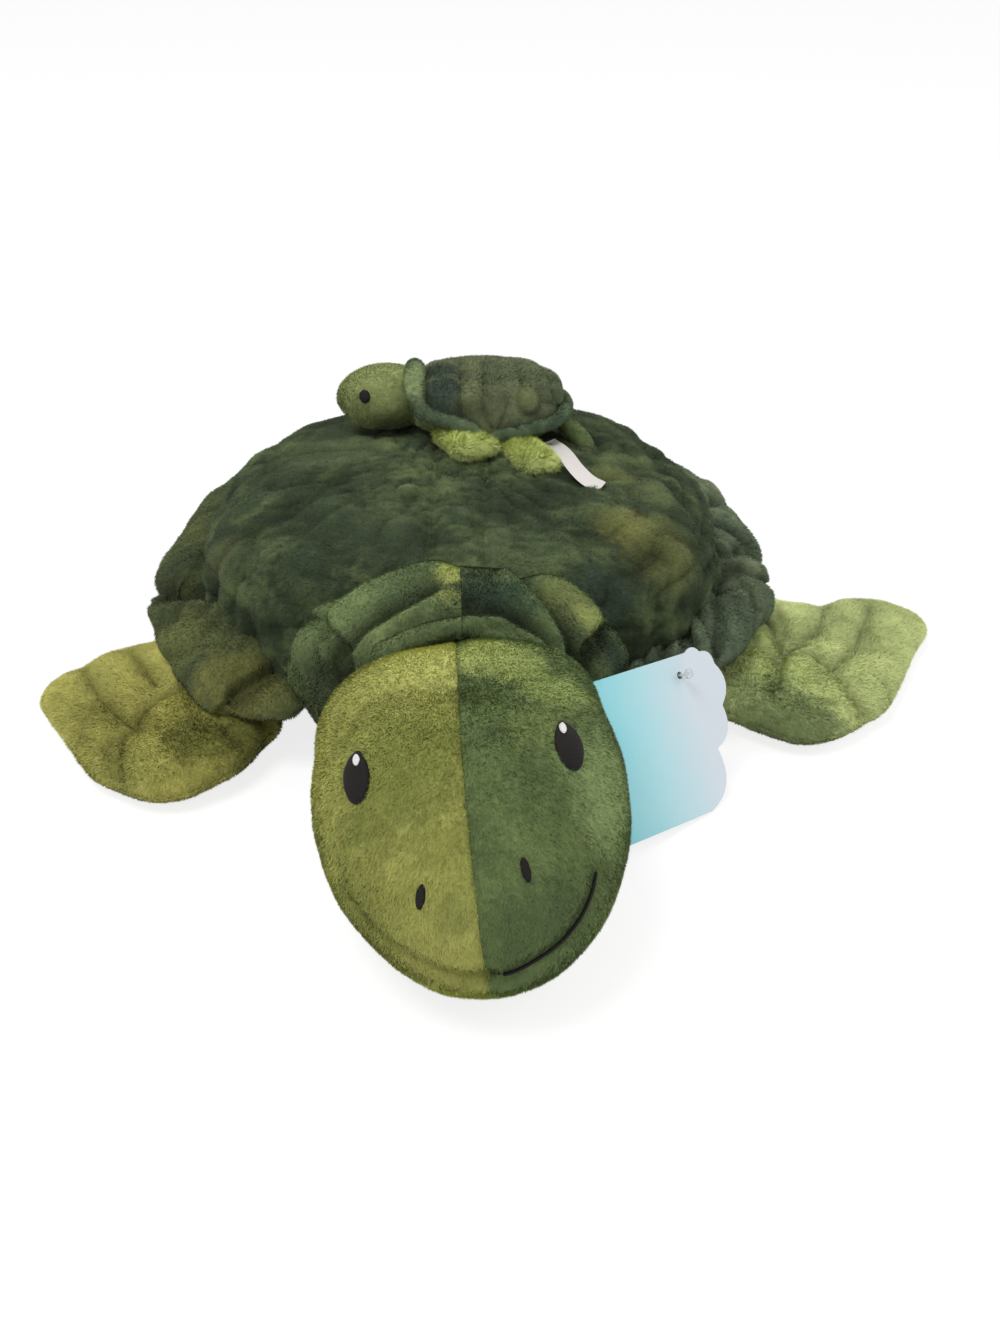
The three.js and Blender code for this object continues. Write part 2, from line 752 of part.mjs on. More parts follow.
// A flipper as two panels over its stuffing
function flipper(name, paddle, rings, around) {
  const { side, reach, halfWidth, halfThickness, tipShare } = paddle;
  const droop = Math.atan2(halfThickness * (1 - tipShare), reach);
  const rootX = shell.halfWidth + paddle.rootOut;
  const pivot = point(side * rootX, paddle.rootBack, halfThickness);
  const heading = degrees(paddle.heading);
  const matrix = new THREE.Matrix4()
    .makeTranslation(...pivot.toArray())
    .multiply(new THREE.Matrix4().makeScale(side, 1, 1))
    .multiply(new THREE.Matrix4().makeRotationZ(heading))
    .multiply(new THREE.Matrix4().makeRotationY(droop));
  const outline = paddle.outlineShares.map(([out, back]) => [out * reach, back * halfWidth]);
  const centre = point(reach * paddleCentreShare, 0, 0);
  const tipAt = (place) => lerp(1, tipShare, Math.max(0, place.x) / reach);
  const layer = (inset, floor, ringCount, aroundCount) =>
    moved(
      pillow(outline, centre, halfThickness, ringCount, aroundCount, inset, tipAt),
      matrix,
    ).intersect(above(floor));
  const axis = point(-Math.sin(heading) * side, Math.cos(heading), 0).multiplyScalar(-side);
  const obstacle = shellOuter.add(rimOuters[side]).add(ruffOuters[side]);
  const room = sweptBy(obstacle, pivot, axis, [flaps.least, 0, flaps.most / 2, flaps.most]);
  const inside = layer(thickness, thickness, 6, 14);
  const skin = layer(0, floorHeight, rings, around).subtract(inside);
  const upper = moved(slab("z", seamGap / 2, blockSize), matrix);
  const lower = moved(slab("z", -blockSize, -seamGap / 2), matrix);
  const group = movingGroup(pivot);
  add(name + "_top_panel", skin.intersect(upper).subtract(room), flipperPlush, group);
  add(name + "_under_panel", skin.intersect(lower).subtract(room), flipperPlush, group);
  const inner = thickness + gap;
  add(name + "_filling", layer(inner, inner, 6, 14).subtract(room), stuffing, group);
}
flipper("front_flipper_left", paddles.frontLeft, 10, 26);
flipper("front_flipper_right", paddles.frontRight, 10, 26);
flipper("rear_flipper_left", paddles.rearLeft, 8, 18);
flipper("rear_flipper_right", paddles.rearRight, 8, 18);

// The tail: a small stuffed point under the back of the rim
const tailShape = egg(tail.length, tail.halfWidth, tail.halfHeight, 8, 12);
const tailPlace = new THREE.Matrix4().makeRotationZ(Math.PI / 2);
tailPlace.setPosition(0, shell.rearLength - tail.inward, tail.z);
add(
  "tail",
  moved(tailShape, tailPlace)
    .subtract(shellOuter)
    .subtract(rimOuters[1])
    .subtract(rimOuters[-1])
    .intersect(above(floorHeight)),
  flipperPlush,
);

// The little turtle, in a group of its own
const babyGroup = movingGroup(point(baby.x, baby.y, baby.seamHeight));
function babyForm(grow, top, bottom, rings, around) {
  return form(
    (along, turn) => {
      const bearing = 2 * Math.PI * turn;
      const lift = Math.PI * (along - 1 / 2);
      const out = along === 0 || along === 1 ? 0 : Math.cos(lift) ** (2 / baby.power);
      const rise = signedPower(Math.sin(lift), 2 / baby.power) * (lift > 0 ? top : bottom);
      return point(
        baby.x + (baby.halfLength + grow) * Math.cos(bearing) * out,
        baby.y + (baby.halfWidth + grow) * Math.sin(bearing) * out,
        baby.seamHeight + rise,
      );
    },
    rings,
    around,
  );
}
const babyBody = babyForm(0, baby.domeHeight, baby.bellyDepth, 10, 20);
const babyBodyRoom = babyForm(gap, baby.domeHeight + gap, baby.bellyDepth + gap, 10, 20);
const onShell = (solid) => solid.subtract(shellOuter);
const babyTop = above(baby.seamHeight + seamGap / 2);
const babyUnder = below(baby.seamHeight - seamGap / 2);
add("baby_shell", babyBody.intersect(babyTop), babyShellPlush, babyGroup);
add("baby_belly", onShell(babyBody.intersect(babyUnder)), babyPlush, babyGroup);
const flange = (grow) => {
  const half = babyRim.halfThickness + grow;
  return babyForm(babyRim.overhang + grow, half, half, 8, 20);
};
add("baby_rim", onShell(flange(0).subtract(babyBodyRoom)), babyShellPlush, babyGroup);
const babyRoom = babyBodyRoom.add(flange(gap));

// The little turtle's head, grown by an amount
function babyHeadForm(grow, rings, around) {
  const { halfLength, halfWidth, halfHeight, backShare } = babyHead;
  const sizes = [halfLength + grow, halfWidth + grow, halfHeight + grow];
  const place = new THREE.Matrix4().makeTranslation(babyHead.x, baby.y, babyHead.z);
  return moved(egg(...sizes, rings, around, backShare), place);
}
const babyHeadSolid = babyHeadForm(0, 10, 16);
add("baby_head", onShell(babyHeadSolid.subtract(babyRoom)), babyPlush, babyGroup);
const babyEyeLayer = babyHeadForm(gap + babyEye.thickness, 16, 28).subtract(
  babyHeadForm(gap, 16, 28),
);
for (const [name, side] of [["left", -1], ["right", 1]]) {
  const dot = almond(babyEye.halfWidth, babyEye.radius, [0, 0], 0, 10);
  const depth = babyHead.halfWidth * 2;
  const bar = new THREE.ExtrudeGeometry(dot, { depth, bevelEnabled: false });
  bar.rotateX(Math.PI / 2);
  bar.translate(babyEye.x, side > 0 ? baby.y + depth : baby.y, babyEye.z);
  add("baby_eye_" + name, solidOf(bar).intersect(babyEyeLayer), blackThread, babyGroup);
}
const babyLimbRoom = babyRoom.add(babyHeadSolid);
for (const [name, x, y, heading] of babyPaddles) {
  const outline = babyPaddleOutlineShares.map(([out, across]) => [
    out * babyPaddle.reach,
    across * babyPaddle.halfWidth,
  ]);
  const place = new THREE.Matrix4()
    .makeTranslation(baby.x + x, baby.y + y, babyPaddle.z)
    .multiply(new THREE.Matrix4().makeRotationZ(degrees(heading)));
  const centre = point(babyPaddle.reach * babyPaddle.centreShare, 0, 0);
  const flat = pillow(outline, centre, babyPaddle.halfThickness, 6, 12);
  add(name, onShell(moved(flat, place).subtract(babyLimbRoom)), babyPlush, babyGroup);
}
const babyTailPlace = new THREE.Matrix4()
  .makeRotationY(degrees(babyTail.fall))
  .setPosition(baby.x + babyTail.x, baby.y, babyTail.z);
const babyTailShape = egg(babyTail.length, babyTail.halfWidth, babyTail.halfHeight, 6, 10);
const babyTailSolid = moved(babyTailShape, babyTailPlace);
add("baby_tail", onShell(babyTailSolid.subtract(babyLimbRoom)), babyPlush, babyGroup);

// The care label: a satin ribbon that falls from the little turtle's rim
const labelCurve = new THREE.SplineCurve(
  labelProfile.outs.map((out, i) => new THREE.Vector2(out, labelProfile.rises[i])),
);
const labelTop = labelCurve.getPoints(12);
const labelUnder = labelTop
  .map((place) => new THREE.Vector2(place.x, place.y - label.thickness))
  .reverse();
const ribbon = new THREE.ExtrudeGeometry(new THREE.Shape([...labelTop, ...labelUnder]), {
  depth: label.width,
  bevelEnabled: false,
});
ribbon.translate(0, 0, -label.width / 2).rotateX(Math.PI / 2);
ribbon.rotateZ(degrees(label.heading)).translate(label.x, label.y, label.z);
const ribbonSolid = solidOf(ribbon).subtract(babyLimbRoom);
add("care_label", onShell(ribbonSolid), satin, babyGroup);

export default turtle;
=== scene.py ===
# %% [markdown]
# # A plush sea turtle with a little turtle on its back
#
# This file dresses a plain solid model of a plush sea turtle. The solids say
# where each piece is and how it moves. The pieces made here have the same places
# and sizes, with the seams, wrinkles, quilting and pile of the real toy.
# Millimetres are easier to think in for a toy, so the shapes are worked out in
# millimetres, and turned into Blender's metres when a mesh is made.

import math

import bpy
import numpy as np
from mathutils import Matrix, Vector
from mathutils.bvhtree import BVHTree


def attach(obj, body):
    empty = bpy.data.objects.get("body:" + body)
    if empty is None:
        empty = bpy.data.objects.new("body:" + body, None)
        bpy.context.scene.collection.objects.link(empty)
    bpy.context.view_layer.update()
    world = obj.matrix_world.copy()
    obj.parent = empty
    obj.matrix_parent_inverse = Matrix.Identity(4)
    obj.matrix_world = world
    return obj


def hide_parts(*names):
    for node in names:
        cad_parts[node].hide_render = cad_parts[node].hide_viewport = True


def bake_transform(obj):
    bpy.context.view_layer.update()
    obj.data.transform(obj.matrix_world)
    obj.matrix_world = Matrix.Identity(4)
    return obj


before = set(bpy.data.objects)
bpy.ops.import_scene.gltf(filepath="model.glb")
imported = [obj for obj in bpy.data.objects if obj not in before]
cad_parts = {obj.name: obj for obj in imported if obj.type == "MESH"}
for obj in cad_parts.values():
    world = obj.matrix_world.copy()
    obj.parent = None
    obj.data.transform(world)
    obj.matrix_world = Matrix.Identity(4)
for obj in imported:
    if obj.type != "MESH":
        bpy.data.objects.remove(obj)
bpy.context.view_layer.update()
METRES = 0.001

# %% [markdown]
# ## The camera
#
# The photograph looks down at the turtle from the front. Its angle and distance
# could be found by trial. Here they were worked out from the toy's outline, and
# `ray_through` gives the line of sight of any place in the picture, so that a
# seam seen in the picture can be laid on the model at the same place.

# %% Camera
PICTURE = (1000, 1330)
FOCAL_PIXELS = 1600
AIM = np.array([22.0, -185.0, 85.0])
DISTANCE = 760.0
DOWN = math.radians(30)
SIGHT = np.array([0.0, math.cos(DOWN), -math.sin(DOWN)])
PICTURE_UP = np.array([0.0, math.sin(DOWN), math.cos(DOWN)])
EYE = AIM - SIGHT * DISTANCE

lens = bpy.data.cameras.new("camera")
lens.sensor_fit = "VERTICAL"
lens.sensor_height = 36
lens.lens = 36 * FOCAL_PIXELS / PICTURE[1]
camera = bpy.data.objects.new("camera", lens)
camera.location = EYE * METRES
camera.rotation_euler = (math.radians(90) - DOWN, 0, 0)
bpy.context.collection.objects.link(camera)
bpy.context.scene.camera = camera
bpy.context.scene.view_settings.view_transform = "Standard"


def ray_through(pixel):
    """The direction of sight through a place in the picture."""
    right, down = pixel[0] - PICTURE[0] / 2, pixel[1] - PICTURE[1] / 2
    return SIGHT * FOCAL_PIXELS + np.array([right, 0, 0]) - PICTURE_UP * down


print("camera at", EYE, "lens", round(lens.lens, 2), "mm")

# %% [markdown]
# ## Small tools for shapes
#
# Soft toys are all rounded forms, and one curve makes most of them: the
# superellipse, which runs from an ellipse to a rounded box as its power grows.
# Wrinkles need randomness that changes smoothly from place to place, so
# `soft_noise` mixes random values from the corners of a grid of cells.

# %% Numbers
rng = np.random.default_rng(7)


def unit(vectors):
    return vectors / np.maximum(np.linalg.norm(vectors, axis=-1, keepdims=True), 1e-9)


def xyz(x, y, z):
    """Points from their X, Y and Z, each of them spread over all the points."""
    return np.stack(np.broadcast_arrays(x, y, z), -1)


def squared_circle(angle, power):
    """Cosine and sine drawn out towards the corners of a square."""
    across, up = np.cos(angle), np.sin(angle)
    reach = (np.abs(across) ** power + np.abs(up) ** power) ** (-1 / power)
    return across * reach, up * reach


def soft_noise(points, size, seed=0):
    """Smooth random values from -1 to 1 that change over a distance of size."""
    scaled = points / size + 1000.0
    cell = np.floor(scaled).astype(np.int64)
    part = scaled - cell
    part = part * part * (3 - 2 * part)
    total = 0.0
    for corner in np.ndindex(2, 2, 2):
        key = ((cell + corner) * (73856093, 19349663, 83492791)).sum(-1) + seed * 9781
        key = ((key ^ (key >> 13)) * 1274126177) & 0x7FFFFFFF
        key = ((key ^ (key >> 15)) * 668265263) & 0x7FFFFFFF
        weight = np.where(corner, part, 1 - part).prod(-1)
        total = total + weight * ((key >> 8) % 4096 / 2047.5 - 1)
    return total


def near_line(points, line):
    """Each point's distance from a line, and which side of it the point is on.

    The side is above 0 on the right of one who walks along the line as it shows in
    the picture.
    """
    best = np.full(points.shape[:-1], np.inf)
    side = np.zeros(points.shape[:-1])
    for start, end in zip(line[:-1], line[1:]):
        along = end - start
        share = ((points - start) @ along) / max(along @ along, 1e-9)
        away = points - start - np.clip(share, 0, 1)[..., None] * along
        distance = np.linalg.norm(away, axis=-1)
        closer = distance < best
        best = np.where(closer, distance, best)
        side = np.where(closer, away @ np.cross(SIGHT, along), side)
    return best, side


def bell(distance, width):
    """1 at no distance, falling smoothly to nothing at about twice the width."""
    return np.exp(-((distance / width) ** 2))


def smooth_line(places, count, closed=False):
    """Evenly many places on a smooth curve through the given ones."""
    places = np.asarray(places, float)
    if closed:
        wrapped = np.concatenate([places[-2:], places, places[:3]])
    else:
        before, after = 2 * places[0] - places[1], 2 * places[-1] - places[-2]
        wrapped = np.concatenate([[before, before], places, [after, after]])
    spans = len(places) if closed else len(places) - 1
    at = np.linspace(0, spans, count, endpoint=not closed)
    cell = np.minimum(at.astype(int), spans - 1)
    t = (at - cell)[:, None]
    a, b, c, d = (wrapped[cell + i + 1] for i in range(4))
    return 0.5 * (
        2 * b + (c - a) * t + (2 * a - 5 * b + 4 * c - d) * t**2
        + (3 * b - a - 3 * c + d) * t**3
    )


def billows(points, size, seed=0):
    """Rounded lumps from 0 to 1 with thin creases between them."""
    return np.abs(soft_noise(points, size, seed)) ** 0.6


def ring_quads(rings, around):
    """The faces between rings of corners, numbered ring by ring."""
    number = np.arange(rings * around).reshape(rings, around)
    after = np.roll(number, -1, 1)
    return np.stack([number[:-1], after[:-1], after[1:], number[1:]], -1).reshape(-1, 4)


print("noise from", soft_noise(rng.random((9, 3)) * 99, 20).round(2))

# %% [markdown]
# ## A skin: one piece of cloth
#
# Every soft piece starts as a grid of points over its form. Rows run along it
# and columns go round it. The grid can be pushed in and out for lumps, seams and
# creases before it is cut into the panels that the toy was sewn from. A modifier
# could do the pushing too, but numbers in an array can follow a seam exactly.


# %% Skin
class Skin:
    """A grid of points in millimetres over a form."""

    def __init__(self, place, rows, columns):
        along = np.linspace(0, 1, rows)[:, None]
        turn = np.arange(columns)[None, :] / columns
        self.points = place(along, turn)
        self.smooth = None
        self.relief = np.zeros(self.points.shape[:2])
        self.outward = 1.0
        middle = self.points.mean((0, 1))
        facing = (self.normals() * (self.points - middle)).sum(-1).mean()
        self.outward = 1.0 if facing > 0 else -1.0

    def normals(self):
        down = np.gradient(self.points, axis=0)
        across = np.roll(self.points, -1, 1) - np.roll(self.points, 1, 1)
        return unit(np.cross(across, down)) * self.outward

    def push(self, amount):
        """Moves each point out along the surface's normal, and keeps count in relief."""
        self.points = self.points + self.normals() * np.asarray(amount)[..., None]
        self.relief = self.relief + amount

    def tree(self):
        corners, faces, _ = self.parts()
        return BVHTree.FromPolygons(corners.tolist(), faces.tolist())

    def seen_at(self, pixels, tree=None):
        """The places on this skin that show at places in the picture."""
        tree, found = tree or self.tree(), []
        for pixel in pixels:
            ray = ray_through(pixel)
            hit = tree.ray_cast(Vector(EYE), Vector(ray))[0]
            if hit is None:
                flat = self.points.reshape(-1, 3) - EYE
                ray = ray / np.linalg.norm(ray)
                off = np.linalg.norm(flat - (flat @ ray)[:, None] * ray, axis=1)
                hit = self.points.reshape(-1, 3)[off.argmin()]
            found.append(np.array(hit))
        return np.array(found)

    def crease(self, lines, depth, width, right=None, sharp=False):
        """Presses lines in, or raises them, where they show in the picture.

        All creases are measured on the smooth form, so that they don't disturb one
        another. A line can be steeper on its right side, as where one fold of cloth
        lies over the next. A sharp one is a line of stitches between two cushions.
        """
        if self.smooth is None:
            self.smooth = self.points.copy(), self.normals(), self.tree()
        points, normals, tree = self.smooth
        best = np.full(points.shape[:-1], np.inf)
        side = np.zeros(points.shape[:-1])
        for pixels in lines:
            line = self.seen_at(smooth_line(pixels, 4 * len(pixels)), tree)
            reach = 5 * max(width, right or width)
            near = ((points > line.min(0) - reach) & (points < line.max(0) + reach)).all(-1)
            away, turn = near_line(points[near], line)
            closer = away < best[near]
            best[near] = np.where(closer, away, best[near])
            side[near] = np.where(closer, turn, side[near])
        spread = np.where(side > 0, right or width, width)
        there = np.exp(-best / spread) if sharp else bell(best, spread)
        self.points = self.points - normals * (depth * there)[..., None]
        self.relief = self.relief - depth * there

    def creases(self, folds):
        """Presses in one line after another: its depth, its widths left and right."""
        for line, depth, width, right in folds:
            self.crease([line], depth, width, right)

    def keep_above(self, height):
        """Flattens the skin where it would hang lower."""
        self.points[..., 2] = np.maximum(self.points[..., 2], height)

    def parts(self):
        """The corners, the faces, and the place of each face on the flat cloth."""
        rows, columns = self.points.shape[:2]
        u = np.stack([np.arange(columns), np.arange(columns) + 1], -1) / columns
        v = np.stack([np.arange(rows - 1), np.arange(rows - 1) + 1], -1) / (rows - 1)
        flat = np.zeros((rows - 1, columns, 4, 2))
        flat[..., 0] = u[None, :, [0, 1, 1, 0]]
        flat[..., 1] = v[:, None, [0, 0, 1, 1]]
        return self.points.reshape(-1, 3), ring_quads(rows, columns), flat.reshape(-1, 4, 2)


print("a skin can be pushed, creased and cut")

# %% [markdown]
# ## Pile
#
# Plush is a knit with a pile: thousands of short fibres that lean one way. Hair
# particles would give it, but they stay behind when the model is taken out of
# Blender, so each tuft here is one thin triangle, rooted in the cloth and leaning
# along its nap. Tufts share the cloth's material. Three values go with every
# point for the material to use: how far up the pile it is, which tuft it is in,
# and how far the cloth was pushed out or in there. From the first the material
# paints shade at the tufts' roots, and from the last it paints shade in the
# hollows and highlight on the ridges.


# %% Pile
MOST_FACES = 195000  # of one piece, in triangles


class Pile:
    """How the pile of one kind of plush stands."""

    def __init__(self, per_mm, length, width, lean=38, spread=24, clump=5.0, wild=0.5):
        self.per_mm, self.length, self.width = per_mm, length, width
        self.lean, self.spread, self.clump, self.wild = lean, spread, clump, wild


def tufts(pile, corners, quads, flat, normals, relief, nap, seed, length_at=None):
    """Corners, flat places, normals and relief of the tufts on a cloth."""
    chance = np.random.default_rng(seed)
    triangles = np.concatenate([quads[:, [0, 1, 2]], quads[:, [0, 2, 3]]])
    places = np.concatenate([flat[:, [0, 1, 2]], flat[:, [0, 2, 3]]])
    a, b, c = (corners[triangles[:, i]] for i in range(3))
    area = np.linalg.norm(np.cross(b - a, c - a), axis=1) / 2
    count = min(int(area.sum() * pile.per_mm), MOST_FACES - 2 * len(quads))
    pick = chance.choice(len(triangles), count, p=area / area.sum())
    share = chance.dirichlet((1, 1, 1), count)
    root = np.einsum("nk,nkx->nx", share, corners[triangles[pick]])
    normal = unit(np.einsum("nk,nkx->nx", share, normals[triangles[pick]]))
    spot = np.einsum("nk,nkx->nx", share, places[pick])
    lie = np.broadcast_to(nap(root) if callable(nap) else np.array(nap, float), root.shape)
    lie = unit(lie - normal * (lie * normal).sum(1, keepdims=True))
    side = np.cross(normal, lie)
    swirl = np.radians(pile.spread) * chance.normal(size=count)
    swirl = swirl + pile.wild * soft_noise(root, pile.clump, seed)
    lie, side = (
        lie * np.cos(swirl)[:, None] + side * np.sin(swirl)[:, None],
        side * np.cos(swirl)[:, None] - lie * np.sin(swirl)[:, None],
    )
    rise = np.radians(
        pile.lean
        + 9 * chance.normal(size=count)
        + 8 * soft_noise(root, pile.clump * 0.8, seed + 1)
    )
    grow = lie * np.cos(rise)[:, None] + normal * np.sin(rise)[:, None]
    roll = np.radians(40) * chance.normal(size=count)
    wide = side * np.cos(roll)[:, None] + np.cross(grow, side) * np.sin(roll)[:, None]
    length = pile.length * chance.uniform(0.7, 1.2, count)
    if length_at is not None:
        length = length * length_at(root)
    half = (pile.width * chance.uniform(0.7, 1.3, count) / 2)[:, None]
    foot = root - normal * 0.4
    points = np.stack(
        [foot - wide * half, foot + wide * half, root + grow * length[:, None]], 1
    )
    face = np.cross(points[:, 1] - points[:, 0], points[:, 2] - points[:, 0])
    turned = (face * normal).sum(1) < 0
    points[turned] = points[turned][:, [1, 0, 2]]
    face = unit(np.where(turned[:, None], -face, face))
    lit = unit(normal * 0.62 + face * 0.38)
    dot = 0.0012
    around = spot[:, None, :] + dot * np.array([[-1, -0.6], [1, -0.6], [0, 1.2]])
    risen = (share * relief[triangles[pick]]).sum(1)
    return points, around, lit, chance.random(count), risen


print("at most", MOST_FACES, "triangles in a piece")

# %% [markdown]
# ## From skins to pieces
#
# `sew` makes one Blender object from a skin, keeping only the faces of one panel.
# Along a cut the edge is tucked inwards, as a seam draws the cloth in, so that two
# panels meet in a small valley.


# %% Sew
def corner_normals(corners, quads):
    across = corners[quads[:, 2]] - corners[quads[:, 0]]
    back = corners[quads[:, 3]] - corners[quads[:, 1]]
    face = np.cross(across, back)
    total = np.zeros_like(corners)
    for i in range(4):
        np.add.at(total, quads[:, i], face)
    return unit(total)


def open_edge(quads):
    """The corners along edges that only one face uses."""
    edges = np.sort(np.concatenate([quads[:, [i, (i + 1) % 4]] for i in range(4)]), 1)
    found, times = np.unique(edges, axis=0, return_counts=True)
    return np.unique(found[times == 1])


made = []
# Painted shade and highlight: the material darkens the cloth where it was pushed in and lightens
# it where it was pushed out
RELIEF_SPAN = 5.0  # how far in the cloth is, in millimetres, where it is darkest
HIGHEST_RELIEF = 0.5  # a ridge lightens less than a hollow darkens


def sew(name, skin, finish, pile=None, nap=(0, 1, 0), keep=None, body="root",
        slot=None, stands_for=(), tuck=1.6, seed=1, length_at=None, fill=0.6):
    """Makes a cloth piece from a skin and puts the pile on it."""
    corners, quads, flat = skin.parts()
    flat = flat * 0.98 + 0.01
    if keep is not None:
        chosen = keep(corners[quads].mean(1))
        quads, flat = quads[chosen], flat[chosen]
    used, quads = np.unique(quads, return_inverse=True)
    quads = quads.reshape(-1, 4)
    corners = corners[used]
    relief = (skin.relief - skin.relief.mean()).ravel()[used] / RELIEF_SPAN
    relief = np.clip(relief, -1, HIGHEST_RELIEF)
    out = skin.normals().reshape(-1, 3)[used]
    if (corner_normals(corners, quads) * out).sum() < 0:
        quads, flat = quads[:, ::-1], flat[:, ::-1]
    normals = corner_normals(corners, quads)
    edge = open_edge(quads)
    if len(edge) and tuck:
        corners[edge] -= normals[edge] * tuck
    cloth = len(corners)
    points, ids, spots = [corners], [quads.ravel()], [flat.reshape(-1, 2)]
    sizes = [4] * len(quads)
    values = {"pile": [np.zeros(cloth)], "tuft": [np.full(cloth, 0.5)], "relief": [relief]}
    lit = None
    if pile is not None:
        hairs, around, hair_lit, tuft, risen = tufts(
            pile, corners, quads, flat, normals, relief, nap, seed, length_at
        )
        count = len(hairs)
        points.append(hairs.reshape(-1, 3))
        ids.append(np.arange(count * 3) + cloth)
        spots.append(around.reshape(-1, 2))
        sizes += [3] * count
        values["pile"].append(np.tile([0.15, 0.15, 1.0], count))
        values["tuft"].append(np.repeat(tuft, 3))
        values["relief"].append(np.repeat(risen, 3))
        lit = np.concatenate([np.zeros((quads.size, 3)), np.repeat(hair_lit, 3, 0)])
    values = {title: np.concatenate(amounts) for title, amounts in values.items()}
    return finish_piece(
        name, np.concatenate(points), np.concatenate(ids), sizes, np.concatenate(spots),
        finish, body, slot, stands_for, fill, lit, **values,
    )


# %% [markdown]
# ### The mesh of a piece
#
# Blender can build a mesh point by point, but that is slow for so many tufts, so
# whole arrays are handed over at once. The tufts are lit by the cloth's own normals,
# mixed with a little of theirs, and so the pile looks soft instead of splintered.


# %% Mesh
def finish_piece(name, points, corner_ids, face_sizes, spots, finish, body, slot,
                 stands_for, fill=None, lit=None, **values):
    """Builds the mesh, its maps and its material, and hides the solids it stands for.

    lit holds the normals for its light, and values hold numbers for its material.
    """
    mesh = bpy.data.meshes.new(name)
    sizes = np.array(face_sizes, dtype=np.int32)
    mesh.vertices.add(len(points))
    mesh.vertices.foreach_set("co", (points * METRES).astype(np.float32).ravel())
    mesh.loops.add(len(corner_ids))
    mesh.loops.foreach_set("vertex_index", corner_ids.astype(np.int32))
    mesh.polygons.add(len(sizes))
    starts = np.concatenate([[0], np.cumsum(sizes)[:-1]]).astype(np.int32)
    mesh.polygons.foreach_set("loop_start", starts)
    mesh.update(calc_edges=True)
    mesh.polygons.foreach_set("use_smooth", np.ones(len(sizes), dtype=bool))
    layer = mesh.uv_layers.new(name="OFBake")
    layer.uv.foreach_set("vector", np.clip(spots, 0, 1).astype(np.float32).ravel())
    for title, amounts in {"pile": 1.0, "tuft": 0.5, "relief": 0.0, **values}.items():
        kept = mesh.attributes.new(title, "FLOAT", "POINT")
        amounts = np.zeros(len(points)) + amounts
        kept.data.foreach_set("value", amounts.astype(np.float32))
    if lit is not None:
        mesh.normals_split_custom_set(lit.tolist())
    mesh.materials.append(finish)
    piece = bpy.data.objects.new(name, mesh)
    bpy.context.collection.objects.link(piece)
    if body:
        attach(piece, body)
    if stands_for:
        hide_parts(*stands_for)
    made.append((name, len(sizes)))
    print(name, len(sizes), "faces")
    return piece


print("a sunk place is darkest", RELIEF_SPAN, "mm in")

# %% [markdown]
# ## Writing materials as sums
#
# A material is a net of nodes. Wiring each one by hand hides the idea, so a
# `Flow` stands for one value in a `Net`, and adding or multiplying flows adds the
# node that does it. `Net.node` makes any other node from its type, its settings
# and its inputs. A `Finish` is the net of one material.


# %% Flow
class Flow:
    """One value, colour or vector in a net."""

    def __init__(self, net, socket):
        self.net, self.socket = net, socket

    def join(self, operation, first, second):
        values = [first, second]
        kinds = {value.socket.type for value in values if isinstance(value, Flow)}
        if any(isinstance(value, tuple) and len(value) == 4 for value in values):
            kinds.add("RGBA")

        def widened(tail=()):
            """Both values, a plain number repeated for each channel."""
            return [(value,) * 3 + tail if isinstance(value, (int, float)) else value
                    for value in values]

        if "RGBA" in kinds:
            settings = {"data_type": "RGBA", "blend_type": operation, "clamp_result": False}
            first, second = widened((1.0,))
            return self.net.node("ShaderNodeMix", settings, {0: 1.0, 6: first, 7: second}, 2)
        kind = "ShaderNodeMath"
        if "VECTOR" in kinds:
            kind = "ShaderNodeVectorMath"
            first, second = widened()
        return self.net.node(kind, {"operation": operation}, {0: first, 1: second})

    def __add__(self, other):
        return self.join("ADD", self, other)

    def __radd__(self, other):
        return self.join("ADD", other, self)

    def __sub__(self, other):
        return self.join("SUBTRACT", self, other)

    def __rsub__(self, other):
        return self.join("SUBTRACT", other, self)

    def __mul__(self, other):
        return self.join("MULTIPLY", self, other)

    def __rmul__(self, other):
        return self.join("MULTIPLY", other, self)

    def __truediv__(self, other):
        return self.join("DIVIDE", self, other)

    def __rtruediv__(self, other):
        return self.join("DIVIDE", other, self)


# %% [markdown]
# ### Nets and finishes
#
# A net could be wired by hand in the Shader Editor. Here one method makes any node:
# its settings first, such as a ramp's stops, then the values or links of its
# sockets. A finish is the net of one material, with the textures that these cloths
# share.


# %% Net and Finish
class Net:
    """A net of nodes."""

    def __init__(self, tree):
        self.tree = tree
        tree.nodes.clear()

    def node(self, kind, settings=None, inputs=None, output=0):
        made_node = self.tree.nodes.new(kind)
        for key, value in (settings or {}).items():
            if key == "stops":
                ramp = made_node.color_ramp
                while len(ramp.elements) < len(value):
                    ramp.elements.new(0.5)
                for element, (position, shade) in zip(ramp.elements, value):
                    element.position, element.color = position, shade
            else:
                setattr(made_node, key, value)
        for key, value in (inputs or {}).items():
            socket = made_node.inputs[key]
            if isinstance(value, Flow):
                self.tree.links.new(value.socket, socket)
            else:
                socket.default_value = value
        return Flow(self, made_node.outputs[output]) if made_node.outputs else None


